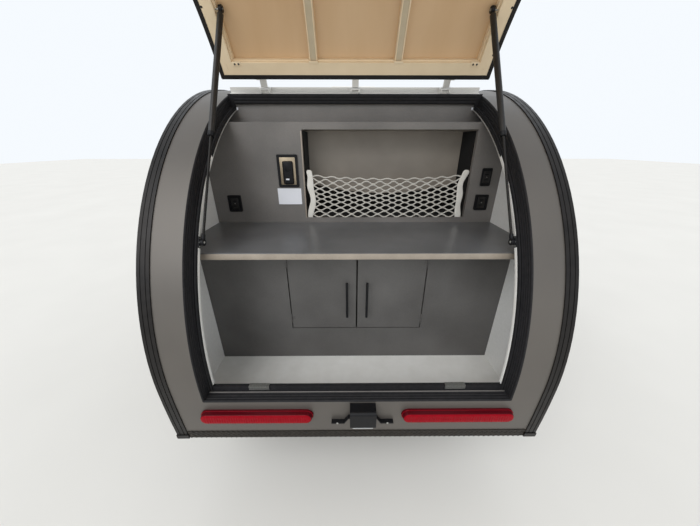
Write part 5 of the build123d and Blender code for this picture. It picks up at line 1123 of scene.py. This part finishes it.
for side, word in SIDES:
    wall = on_side(side)
    body = f"side_door_{word}"
    edge = band(wall, DOOR_Y0, DOOR_Y1, DOOR_Z0, DOOR_Z1, DOOR_CORNER, door_edge_profile, step=0.05)
    piece(f"door_edge_{word}", edge, anodised, body)
    gasket = band(wall, *gasket_box, GASKET_CORNER, gasket_profile, step=0.05)
    piece(f"window_gasket_{word}", gasket, rubber, body)
    roll = band(wall, *roll_box, ROLL_CORNER, roll_profile, step=0.05)
    pane = band(wall, *pane_box, PANE_CORNER, pane_profile, step=0.05)
    catch = block((side * 0.7572, WINDOW_Y - 0.002, WINDOW_Z - 0.02), (0.0022, 0.0035, 0.020), 0.0012)
    piece(f"window_slider_{word}", joined(roll, pane, catch), anodised, body)
    lever_mid = (side * (HANDLE_BED + 0.0028), HANDLE_Y, HANDLE_Z + 0.012)
    finger_mid = (side * (HANDLE_BED + 0.0062), HANDLE_Y, HANDLE_Z - 0.010)
    lever = block(lever_mid, (0.0034, 0.0160, 0.028), 0.0024, steps=4)
    finger = block(finger_mid, (0.0022, 0.0145, 0.0035), 0.0016, steps=3)
    piece(f"door_lever_{word}", joined(lever, finger), abs_black, body)
    lock_spot = (side * HANDLE_BED, HANDLE_Y, HANDLE_Z - 0.031)
    door_lock = turned(LOCK_PROFILE, lock_spot, side * ACROSS, UP, 28)
    piece(f"door_lock_{word}", door_lock, zinc, body)
    for level in HINGE_LEVELS:
        for end in (-1, 1):
            cap_spot = (side * HINGE_LINE_X, HINGE_LINE_Y, level + end * HINGE_HALF)
            hinge_caps.append(turned(cap_dome, cap_spot, end * UP, ACROSS, 16))
    leaf_screws = screws(wall, HINGE_LINE_Y - LEAF_SCREW, leaf_z, LEAF_FACE, 0.0034, 0.0012)
    piece(f"hinge_leaf_screws_{word}", leaf_screws, zinc, body)
    frame_screws.append(screws(wall, HINGE_LINE_Y + LEAF_SCREW, leaf_z, LEAF_FACE, 0.0034, 0.0012))
    frame_screws.append(screws(wall, frame_line[:, 0], frame_line[:, 1], DOOR_FACE, 0.0032, 0.0011))
piece("door_hinge_caps", joined(*hinge_caps), anodised, "chassis")
piece("door_frame_screws", joined(*frame_screws), powder, "chassis")

# Roof vent: a bead of sealant round its flange, screws through it, and ribs moulded on the lid
VENT_TURN = radians(5.98)
VENT_MID = np.array([0, TAIL_Y + 1.500, BODY_Z + 1.3854])
VENT_AHEAD = np.array([0, np.cos(VENT_TURN), -np.sin(VENT_TURN)])
VENT_UP = np.array([0, np.sin(VENT_TURN), np.cos(VENT_TURN)])
VENT_FLANGE_HALF, VENT_LID_TOP = 0.204, 0.078
VENT_SCREW_INSET = 0.008
VENT_RIBS = (-0.09, -0.03, 0.03, 0.09)


def on_vent(x, ahead, rise):
    """Points about the roof vent: across, forward along the roof and up from its skin."""
    x, ahead, rise = (np.asarray(value, float)[..., None] for value in np.broadcast_arrays(x, ahead, rise))
    return VENT_MID + x * ACROSS + ahead * VENT_AHEAD + rise * VENT_UP


bead_profile = [(-0.0025, -0.008), (0.0050, -0.008), (0.0062, -0.003), (0.0048, 0.0012), (0.0010, 0.0046)]
bead_profile += [(-0.0025, 0.0048)]
half = VENT_FLANGE_HALF
bead = band(on_vent, -half, half, -half, half, 0.008, bead_profile)
piece("vent_sealant", bead, vent_plastic, "chassis")
row = np.linspace(-0.165, 0.165, 5)
line = np.full(len(row), half - VENT_SCREW_INSET)
vent_x = np.concatenate([row, row, line, -line])
vent_t = np.concatenate([line, -line, row, row])
vent_screws = screws(on_vent, vent_x, vent_t, 0.004, 0.0040, 0.0016)
piece("vent_screws", vent_screws, zinc, "chassis")
vent_axes = np.array([ACROSS, VENT_AHEAD, VENT_UP])
rib_half = (0.0085, 0.128, 0.0035)
ribs = [block(on_vent(x, 0.0, VENT_LID_TOP), rib_half, 0.0032, vent_axes, steps=3) for x in VENT_RIBS]
piece("vent_lid_ribs", joined(*ribs), vent_plastic, "vent_lid")

# Roof seam: a cover strip where roof and nose panels meet, screwed along both edges
SEAM_TURN = radians(72)
SEAM_MID = np.array([0, TAIL_Y + 2.2375, BODY_Z + 1.2288])
SEAM_AHEAD = np.array([0, np.sin(SEAM_TURN), -np.cos(SEAM_TURN)])
SEAM_UP = np.array([0, np.cos(SEAM_TURN), np.sin(SEAM_TURN)])
seam_axes = np.array([ACROSS, SEAM_AHEAD, SEAM_UP])
SEAM_SCREWS, SEAM_SCREW_HALF, SEAM_SCREW_OFF = 13, 0.675, 0.0115
cover = block(SEAM_MID + 0.0003 * SEAM_UP, (0.700, 0.0190, 0.0021), 0.0014, seam_axes, steps=3)
piece("roof_seam_cover", cover, anodised, "chassis")
seam_profile = [(0, -0.001), (0.0040, -0.001), (0.0040, 0.0004), (0.0030, 0.0014), (0.0012, 0.0018)]
seam_profile += [(0.0010, 0.0008), (0, 0.0008)]
seam_head = turned(seam_profile, (0, 0, 0), UP, ACROSS, 10)
seam_x = np.tile(np.linspace(-SEAM_SCREW_HALF, SEAM_SCREW_HALF, SEAM_SCREWS), 2)
seam_t = np.repeat([-SEAM_SCREW_OFF, SEAM_SCREW_OFF], SEAM_SCREWS)
seam_spots = SEAM_MID + seam_x[:, None] * ACROSS + seam_t[:, None] * SEAM_AHEAD + 0.0024 * SEAM_UP
seam_heads = stamped(seam_head, seam_spots, np.repeat(seam_axes[None], len(seam_spots), 0))
piece("roof_seam_screws", seam_heads, powder, "chassis")

# Hatch hinges: domed heads on their pins, outside the ears
PIN_HEAD_X = 0.0225
pin_head = [(0, -0.001), (0.0082, -0.001), (0.0090, 0.0008), (0.0078, 0.0034), (0.0044, 0.0050), (0, 0.0054)]
pin_heads = []
for x in (-0.425, 0.0, 0.425):
    for end in (-1, 1):
        pin_heads.append(turned(pin_head, (x + end * PIN_HEAD_X, HINGE_Y, HINGE_Z), end * ACROSS, UP, 24))
piece("hinge_pin_heads", joined(*pin_heads), mill, "chassis")

# Side markers: a rubber pad behind each lens
MARKER_X = 0.7505
MARKERS = ((TAIL_Y + 0.130, BODY_Z + 0.150), (TAIL_Y + 2.700, BODY_Z + 0.170))
marker_pads = []
for side in (-1, 1):
    for y, z in MARKERS:
        marker_pads.append(block((side * MARKER_X, y, z), (0.0024, 0.0345, 0.0155), 0.0016, steps=3))
piece("marker_pads", joined(*marker_pads), rubber, "chassis")

# Fenders: a bolted flange against the wall and a rolled bead on the outer lip, along the plate's bent line
WHEEL_X, WHEEL_Y, WHEEL_Z = 0.880, TAIL_Y + 1.290, 0.3315
FENDER_TOP, FENDER_FOOT = WHEEL_Z + 0.392, WHEEL_Z + 0.060
FENDER_HALF_TOP, FENDER_HALF_FOOT, FENDER_BEND = 0.262, 0.452, 0.070
FENDER_SLOPE = np.arctan2(FENDER_TOP - FENDER_FOOT, FENDER_HALF_FOOT - FENDER_HALF_TOP)
FENDER_LIP, FENDER_OUTER = 0.034, 1.000


def bent_line(deep):
    """Fender line, a depth towards the wheel: legs, and bends as arcs C + r (cos a, sin a), with normals."""
    radius = FENDER_BEND - deep
    half_top = FENDER_HALF_TOP - deep * np.tan(FENDER_SLOPE / 2)
    half_foot = FENDER_HALF_FOOT - deep / np.sin(FENDER_SLOPE)
    turn = pi / 2 + np.linspace(FENDER_SLOPE, 0, 9)
    bend = np.stack([-(half_top - radius * np.tan(FENDER_SLOPE / 2)) + radius * np.cos(turn),
                     FENDER_TOP - deep - radius + radius * np.sin(turn)], -1)
    rear = np.concatenate([[(-half_foot, FENDER_FOOT)], bend])
    normal = np.stack([np.cos(turn), np.sin(turn)], -1)
    normal = np.concatenate([normal[:1], normal])
    line = np.concatenate([rear, rear[::-1] * (-1, 1)])
    return line + (WHEEL_Y, 0), np.concatenate([normal, normal[::-1] * (-1, 1)])


WALL_FACE, FLANGE_FACE = 0.7502, 0.7530
BEAD_RADIUS = 0.0042
LEG_SHARES, TOP_SHARES = (0.18, 0.5, 0.82), (0.0, 0.25, 0.5, 0.75, 1.0)
flange_section = [(WALL_FACE, -0.0015), (FLANGE_FACE, -0.0015), (FLANGE_FACE, 0.0230)]
flange_section += [(0.7520, 0.0245), (WALL_FACE, 0.0245)]
bead_turn = np.linspace(0, 2 * pi, 10, endpoint=False)
bead_x = FENDER_OUTER - 0.001 + BEAD_RADIUS * np.cos(bead_turn)
bead_section = np.stack([bead_x, BEAD_RADIUS * np.sin(bead_turn)], -1)
HEX_PROFILE = [(0, -0.001), (0.0075, -0.001), (0.0075, 0.0046), (0.0064, 0.0056), (0, 0.0056)]


def between(start, end, shares):
    """Points at shares of the way from start to end: P = S + t (E - S)."""
    return start + np.array(shares)[:, None] * (end - start)


flanges, beads, bolts = [], [], []
for side in (-1, 1):
    for deep, section, made in ((0.0, flange_section, flanges), (FENDER_LIP, bead_section, beads)):
        line, normal = bent_line(deep)
        path = np.insert(line, 0, 0.0, axis=1)
        across = np.repeat([side * ACROSS], len(line), 0)
        made.append(swept(path, across, np.insert(normal, 0, 0.0, axis=1), section))
    line, normal = bent_line(0.0)
    middle = line + 0.0130 * normal
    rear_bolts = between(middle[0], middle[1], LEG_SHARES)
    top_bolts = between(middle[9], middle[10], TOP_SHARES)
    front_bolts = between(middle[-2], middle[-1], LEG_SHARES)
    for y, z in np.concatenate([rear_bolts, top_bolts, front_bolts]):
        bolts.append(turned(HEX_PROFILE, (side * FLANGE_FACE, y, z), side * ACROSS, UP, 6))
piece("fender_flanges", joined(*flanges), powder, "chassis")
piece("fender_beads", joined(*beads), powder, "chassis")
piece("fender_bolts", joined(*bolts), zinc, "chassis", sharp=20)

# Tyres: P = C + x X + r(x, pitch) (cos t, sin t) on a boxy section, grooved round, cut across, plain-walled
TYRE_HALF, TYRE_MID, TYRE_RISE = 0.1022, 0.255, 0.0762
TYRE_POWER = 5
GROOVE_DEEP, CUT_DEEP = 0.0068, 0.0052
PITCHES = 62
TREAD_SLANT = 0.45
PITCH_EDGES = np.array([0.0, 0.70, 0.74, 0.96])
shoulder = np.radians(np.linspace(-52.5, 52, 17))
side_x = TYRE_HALF * np.cos(shoulder) ** (2 / TYRE_POWER)
side_r = TYRE_MID + TYRE_RISE * np.sign(shoulder) * np.abs(np.sin(shoulder)) ** (2 / TYRE_POWER)
side_x = side_x - 0.0010 * (np.abs(side_r - 0.292) < 0.004) - 0.0008 * (np.abs(side_r - 0.225) < 0.010)
tread_half = [0.080, 0.070, 0.064, 0.0632, 0.0565, 0.0557, 0.042, 0.0285, 0.0277, 0.021, 0.0202, 0.01]
tread_half = np.array(tread_half)
deep_half = np.array([0, 0, 0, 1, 1, 0, 0, 0, 1, 1, 0, 0])
tread_x = np.concatenate([tread_half, [0.0], -tread_half[::-1]])
grooved = np.concatenate([deep_half, [0], deep_half[::-1]])
tread_r = TYRE_MID + TYRE_RISE * (1 - (np.abs(tread_x) / TYRE_HALF) ** TYRE_POWER) ** (1 / TYRE_POWER)
hollow_x = np.array([-0.0760, -0.0905, -0.0930, -0.0700, 0.0, 0.0700, 0.0930, 0.0905, 0.0760])
hollow_r = np.array([0.1790, 0.2150, 0.2900, 0.3180, 0.3200, 0.3180, 0.2900, 0.2150, 0.1790])
section_x = np.concatenate([side_x, tread_x, -side_x[::-1], hollow_x])
section_r = np.concatenate([side_r, tread_r - GROOVE_DEEP * grooved, side_r[::-1], hollow_r])
side_share = np.clip((side_r - 0.300) / 0.018, 0, 1)
cut_share = np.concatenate([side_share, 1.0 - grooved, side_share[::-1], 0 * hollow_x])
cut_share = cut_share * np.where(np.abs(section_x) < 0.015, 0.35, 1.0)
step_turn = ((np.arange(PITCHES)[:, None] + PITCH_EDGES) * 2 * pi / PITCHES).ravel()[:, None]
is_cut = np.tile([0, 0, 1, 1], PITCHES)[:, None]
lean = TREAD_SLANT * np.clip(section_x, -0.085, 0.085) / WHEEL_Z * np.sign(section_x)
slanted = step_turn + lean[None, :]
tyre_r = section_r[None, :] - CUT_DEEP * is_cut * cut_share[None, :]
tyre_y = WHEEL_Y + tyre_r * np.cos(slanted)
tyre_z = WHEEL_Z + tyre_r * np.sin(slanted)
for side, word in SIDES:
    tyre_x = side * (WHEEL_X + section_x[None, :] + 0 * tyre_r)
    tyre = sheet(np.stack([tyre_x, tyre_y, tyre_z], -1), wrap_rows=True, wrap_columns=True)
    piece(f"tyre_tread_{word}", tyre, tyre_rubber, f"wheel_{word}",
          replaces=(f"tyre_{word}",), sharp=28)

# Wheel details: a turned ring in the rim's edge, lug caps, a plain centre cap ring and a valve
RIM_EDGE, RIM_LIP = 0.088, 0.1885
LUGS, LUG_CIRCLE = 5, 0.05715
VALVE_CIRCLE, VALVE_TURN = 0.160, radians(112.5)
rim_ring = [(RIM_LIP - 0.008, RIM_EDGE - 0.001), (RIM_LIP - 0.007, RIM_EDGE + 0.0014)]
rim_ring += [(RIM_LIP, RIM_EDGE + 0.0020), (RIM_LIP + 0.003, RIM_EDGE + 0.0008)]
rim_ring += [(RIM_LIP + 0.0034, RIM_EDGE - 0.001)]
cap_ring = [(0.024, 0.0595), (0.0245, 0.0615), (0.0270, 0.0622), (0.0295, 0.0612), (0.0300, 0.0595)]
lug_dome = [(0, -0.001), (0.0078, -0.001), (0.0076, 0.0012), (0.0056, 0.0036), (0.0028, 0.0048), (0, 0.0051)]
valve_profile = [(0, -0.004), (0.0052, -0.004), (0.0046, 0.006), (0.0040, 0.022), (0.0050, 0.023)]
valve_profile += [(0.0050, 0.033), (0.0036, 0.035), (0, 0.0352)]


def on_wheel(side, radius, turn, rise):
    """A point about one wheel: P = hub + r (cos t Y + sin t Z) + rise outwards."""
    hub = np.array([side * WHEEL_X, WHEEL_Y, WHEEL_Z])
    return hub + radius * (np.cos(turn) * AHEAD + np.sin(turn) * UP) + rise * side * ACROSS


for side, word in SIDES:
    outward, wheel = side * ACROSS, f"wheel_{word}"
    hub = on_wheel(side, 0, 0, 0)
    rings = []
    for profile, count in ((rim_ring, 96), (cap_ring, 48)):
        rings.append(turned(profile, hub, outward, UP, count, ring=True))
    for k in range(LUGS):
        rings.append(turned(lug_dome, on_wheel(side, LUG_CIRCLE, 2 * pi * k / LUGS, 0.054), outward, UP, 14))
    piece(f"wheel_rings_{word}", joined(*rings), zinc, wheel)
    valve = turned(valve_profile, on_wheel(side, VALVE_CIRCLE, VALVE_TURN, 0.029), outward, UP, 14)
    piece(f"wheel_valve_{word}", valve, rubber, wheel)

# Running gear: cheek plates where the axle hangs from the rails, with hex bolts
AXLE_Y, AXLE_Z, RAIL_X, RAIL_FACE = -0.303, 0.380, 0.520, 0.0285
CHEEK_THICK = 0.0034
CHEEK_BOLTS = ((-0.036, 0.058), (0.036, 0.058), (-0.040, 0.0), (0.040, 0.0))
cheeks, cheek_bolts = [], []
for side in (-1, 1):
    for face in (-1, 1):
        x = side * RAIL_X + face * RAIL_FACE
        cheeks.append(block((x, AXLE_Y, AXLE_Z + 0.036), (CHEEK_THICK, 0.052, 0.050), 0.0022, steps=2))
        for y, z in CHEEK_BOLTS:
            bolt_foot = (x + face * CHEEK_THICK, AXLE_Y + y, AXLE_Z + z)
            cheek_bolts.append(turned(HEX_PROFILE, bolt_foot, face * ACROSS, UP, 6))
piece("axle_cheeks", joined(*cheeks), powder, "chassis")
piece("axle_cheek_bolts", joined(*cheek_bolts), zinc, "chassis", sharp=20)

# Tongue jack: a ribbed grip on the crank, a cap on the head and bolts in its flange; bolts on the coupler
JACK_Y, JACK_CRANK_Z, JACK_TOP = 1.8549, 0.613, 0.806
GRIP_FROM, GRIP_TO = 0.0675, 0.1445
GRIP_RADIUS, GRIP_RISE, GRIP_PITCH = 0.0125, 0.0012, 0.007
FLANGE_CIRCLE, FLANGE_TOP = 0.046, 0.424
COUPLER_TOP = 0.416
grip_along = np.linspace(GRIP_FROM, GRIP_TO, 45)
grip_radius = GRIP_RADIUS + GRIP_RISE * np.abs(np.sin(pi * (grip_along - GRIP_FROM) / GRIP_PITCH))
grip_profile = np.stack([grip_radius, grip_along], -1)
grip_profile = np.concatenate([[(0, GRIP_FROM)], grip_profile, [(0.009, 0.1462), (0, 0.1466)]])
grip = turned(grip_profile, (0, JACK_Y, JACK_CRANK_Z), ACROSS, UP, 24)
piece("jack_grip", grip, rubber, "chassis")
jack_dome = [(0, -0.002), (0.03, -0.002), (0.0305, 0.0008), (0.0285, 0.003), (0.011, 0.0052), (0, 0.0056)]
jack_cap = turned(jack_dome, (0, JACK_Y, JACK_TOP), UP, ACROSS, 40)
piece("jack_cap", jack_cap, abs_black, "chassis")
flange_turn = np.radians([90, 210, 330])
flange_x, flange_y = FLANGE_CIRCLE * np.cos(flange_turn), JACK_Y + FLANGE_CIRCLE * np.sin(flange_turn)
hitch_spots = [(x, y, FLANGE_TOP) for x, y in zip(flange_x, flange_y)]
hitch_spots += [(-0.036, 1.995, COUPLER_TOP), (0.036, 1.995, COUPLER_TOP)]
hitch_bolts = [turned(HEX_PROFILE, spot, UP, ACROSS, 6) for spot in hitch_spots]
piece("hitch_bolts", joined(*hitch_bolts), zinc, "chassis", sharp=20)

# Mattress: a foam block whose cover a cloth run swells between tufts and edges; its bottom stays on the floor
mattress_low, mattress_high = (np.array(corner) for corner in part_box("mattress"))
bed_mid, bed_half = (mattress_low + mattress_high) / 2, (mattress_high - mattress_low) / 2
BED_CORNER = 0.060
BED_EDGE = 0.020
BED_SHRINK = 0.004
TUFT_ROWS, TUFT_COLUMNS = 6, 4
TUFT_DEEP, TUFT_REACH = 0.013, 0.040
SWELL_SIDE, SWELL_TOP = 0.006, 0.014
SWELL_FRAMES = 20
TUFT_HELD, SEAM_HELD, TOP_HELD = 0.018, 0.016, 0.030


def bed_outline(inset, count=16):
    """Rounded rectangle of the mattress from above, inset, its corners arcs C + r (cos t, sin t)."""
    radius = BED_CORNER - 0.6 * inset
    turn = np.radians(np.linspace(0, 90, count))[None, :] + np.radians([[0], [90], [180], [270]])
    sign = np.array([(1, 1), (-1, 1), (-1, -1), (1, -1)])
    centre = sign * (bed_half[:2] - inset - radius)
    corners = centre[:, None] + radius * np.stack([np.cos(turn), np.sin(turn)], -1)
    return corners.reshape(-1, 2)


def swollen(part, voxel, pressure, held):
    """Cloth run on a closed shape: remeshed, its points held where held(points) says, blown up a little."""
    mesh = bpy.data.meshes.new("swelling")
    mesh.from_pydata(np.asarray(part[0]).tolist(), [], part[1])
    blown = bpy.data.objects.new("swelling", mesh)
    bpy.context.scene.collection.objects.link(blown)
    remesh = blown.modifiers.new("remesh", "REMESH")
    remesh.mode = "VOXEL"
    remesh.voxel_size = voxel
    even = bpy.data.meshes.new_from_object(blown.evaluated_get(bpy.context.evaluated_depsgraph_get()))
    blown.modifiers.clear()
    blown.data = even
    start = np.empty(3 * len(even.vertices))
    even.vertices.foreach_get("co", start)
    start = start.reshape(-1, 3)
    pins = blown.vertex_groups.new(name="held")
    pins.add(np.flatnonzero(held(start)).tolist(), 1.0, "REPLACE")
    cover = blown.modifiers.new("cover", "CLOTH")
    cover.settings.use_pressure = True
    cover.settings.uniform_pressure_force = pressure
    cover.settings.effector_weights.gravity = 0
    cover.settings.vertex_group_mass = "held"
    cover.point_cache.frame_start, cover.point_cache.frame_end = 1, SWELL_FRAMES
    for number in range(1, SWELL_FRAMES + 1):
        bpy.context.scene.frame_set(number)
    swelled = bpy.data.meshes.new_from_object(blown.evaluated_get(bpy.context.evaluated_depsgraph_get()))
    end = np.empty(3 * len(swelled.vertices))
    swelled.vertices.foreach_get("co", end)
    faces = [list(polygon.vertices) for polygon in swelled.polygons]
    bpy.data.objects.remove(blown)
    bpy.context.scene.frame_set(1)
    return start, end.reshape(-1, 3), faces


tuft_x = (np.arange(TUFT_COLUMNS) + 0.5) / TUFT_COLUMNS * 2 * bed_half[0] - bed_half[0]
tuft_y = (np.arange(TUFT_ROWS) + 0.5) / TUFT_ROWS * 2 * bed_half[1] - bed_half[1]
tufts = np.stack(np.meshgrid(tuft_x, tuft_y), -1).reshape(-1, 2) + bed_mid[:2]


def tuft_distance(points):
    """Distance in plan from each point to the nearest tuft."""
    return np.sqrt(((points[:, None, :2] - tufts[None]) ** 2).sum(-1)).min(1)


def bed_held(points):
    """Points that the thread holds: the tufts, the bottom, and the top edge's seam."""
    rim = np.min(bed_half[:2] - np.abs(points - bed_mid)[:, :2], 1)
    top = points[:, 2] > mattress_high[2] - TOP_HELD
    bottom = points[:, 2] < mattress_low[2] + SEAM_HELD
    return (tuft_distance(points) < TUFT_HELD) | bottom | (top & (rim < SEAM_HELD))


edge_turn = np.radians(np.linspace(-90, 90, 9))
edge_inset = BED_SHRINK + BED_EDGE * (1 - np.cos(edge_turn))
edge_rise = (bed_half[2] - BED_EDGE) * np.sign(edge_turn) + BED_EDGE * np.sin(edge_turn)
bed_rows = []
for inset, rise in zip(edge_inset, edge_rise):
    outline = bed_outline(inset)
    bed_rows.append(np.column_stack([outline, np.full(len(outline), rise)]))
bed_block = sheet(bed_mid + np.array(bed_rows), wrap_columns=True, ends=True)
bed_start, bed_end, bed_faces = swollen(bed_block, 0.020, 4, bed_held)
cap = np.array([SWELL_SIDE, SWELL_SIDE, SWELL_TOP])
bed_points = bed_start + np.clip(bed_end - bed_start, -cap, cap)
upper = np.clip((bed_points[:, 2] - bed_mid[2]) / bed_half[2], 0, 1)
bed_points[:, 2] -= upper * TUFT_DEEP * np.exp(-((tuft_distance(bed_points) / TUFT_REACH) ** 2))
bed_points[:, 2] = np.maximum(bed_points[:, 2], mattress_low[2])
mattress = piece("mattress_foam", (bed_points, bed_faces), ticking, "chassis",
                 replaces=("mattress",), sharp=180)
finer = mattress.modifiers.new("finer", "SUBSURF")
finer.levels = finer.render_levels = 1
seam_line = bed_outline(BED_SHRINK + 0.004, 24) + bed_mid[:2]
piping = []
for level in (mattress_low[2] + 0.016, mattress_high[2] - 0.014):
    route = np.column_stack([seam_line, np.full(len(seam_line), level)])
    piping.append(tube(route, 0.0042, 8, closed=True))
piece("mattress_piping", joined(*piping), webbing, "chassis", sharp=80)
button_dome = [(0, -0.004), (0.012, -0.004), (0.0135, 0.0), (0.011, 0.003), (0.006, 0.0042), (0, 0.0045)]
button = turned(button_dome, (0, 0, 0), UP, ACROSS, 20)
button_spots = np.column_stack([tufts, np.full(len(tufts), mattress_high[2] - TUFT_DEEP + 0.001)])
piece("mattress_buttons", stamped(button, button_spots), webbing, "chassis", sharp=60)

# Inside of the side doors: a window trim ring, a rubber seal near the edge and a turn latch
DOOR_INSIDE = 0.7125
TRIM_CORNER = 0.060
inside_trim = [(0.0180, DOOR_INSIDE), (0.0180, 0.7108), (0.0165, 0.7098), (0.0020, 0.7094), (-0.0030, 0.7105)]
inside_trim += [(-0.0040, 0.7200), (-0.0020, 0.7200), (-0.0010, DOOR_INSIDE)]
inside_seal = [(-0.0060, DOOR_INSIDE), (-0.0065, 0.7104), (-0.0085, 0.7092), (-0.0110, 0.7092)]
inside_seal += [(-0.0130, 0.7104), (-0.0135, DOOR_INSIDE)]
boss_profile = [(0, 0.0), (0.013, 0.0), (0.012, 0.007), (0.008, 0.009), (0, 0.009)]
window_y = (WINDOW_Y - WINDOW_HALF_Y, WINDOW_Y + WINDOW_HALF_Y)
window_z = (WINDOW_Z - WINDOW_HALF_Z, WINDOW_Z + WINDOW_HALF_Z)
LATCH_Z = HANDLE_Z + 0.008
for side, word in SIDES:
    wall = on_side(side)
    body = f"side_door_{word}"
    trim = band(wall, *window_y, *window_z, TRIM_CORNER, inside_trim, step=0.05)
    piece(f"window_trim_{word}", trim, abs_black, body)
    seal = band(wall, DOOR_Y0, DOOR_Y1, DOOR_Z0, DOOR_Z1, DOOR_CORNER, inside_seal, step=0.05)
    piece(f"door_seal_{word}", seal, rubber, body)
    latch_plate = block((side * 0.7112, HANDLE_Y, HANDLE_Z), (0.0018, 0.026, 0.046), 0.0014, steps=3)
    latch_boss = turned(boss_profile, (side * 0.7100, HANDLE_Y, LATCH_Z), -side * ACROSS, UP, 24)
    latch_arm = block((side * 0.6985, HANDLE_Y + 0.018, LATCH_Z), (0.0032, 0.028, 0.0065), 0.0028, steps=3)
    latch = joined(latch_plate, latch_boss, latch_arm)
    piece(f"door_latch_{word}", latch, abs_black, body)

# The camera stands 0.7 m behind the tail at eye height, tilted down, as the photograph was taken; its focal
# length is a number of the picture's pixels
FIELD_PIXELS = 264
PICTURE_WIDE = 700
CAMERA_PLACE = (-0.034, -2.447, 1.563)
CAMERA_TILT, CAMERA_TURN = 24.3, -0.35
camera_data = bpy.data.cameras.new("camera")
camera_data.lens = camera_data.sensor_width * FIELD_PIXELS / PICTURE_WIDE
camera_data.clip_start = 0.01
camera = bpy.data.objects.new("camera", camera_data)
camera.location = CAMERA_PLACE
camera.rotation_euler = Euler((radians(90 - CAMERA_TILT), 0, radians(CAMERA_TURN)), "XYZ")
bpy.context.scene.collection.objects.link(camera)
bpy.context.scene.camera = camera

# A pale floor, one soft sun and a pale sky
plaster = mottled("pale_plaster_floor", "d9d6d0", 0.9, 0.0, 900, 4.0, "d5d2cc", "dedbd5")
FLOOR = 30
ground = bpy.data.meshes.new("floor")
corners = [(-FLOOR, -FLOOR, 0), (FLOOR, -FLOOR, 0), (FLOOR, FLOOR, 0), (-FLOOR, FLOOR, 0)]
ground.from_pydata(corners, [], [(0, 1, 2, 3)])
ground.materials.append(plaster)
floor = bpy.data.objects.new("floor", ground)
bpy.context.scene.collection.objects.link(floor)

world = bpy.data.worlds.new("sky")
world.use_nodes = True
sky = world.node_tree.nodes["Background"]
sky.inputs["Color"].default_value = (0.92, 0.96, 1.0, 1.0)
sky.inputs["Strength"].default_value = 1.0
bpy.context.scene.world = world
sun_data = bpy.data.lights.new("sun", "SUN")
sun_data.energy = 1.5
sun_data.angle = radians(50)
sun = bpy.data.objects.new("sun", sun_data)
sun.rotation_euler = Euler((radians(48), 0, radians(-28)), "XYZ")
bpy.context.scene.collection.objects.link(sun)
bpy.context.scene.view_settings.view_transform = "Standard"
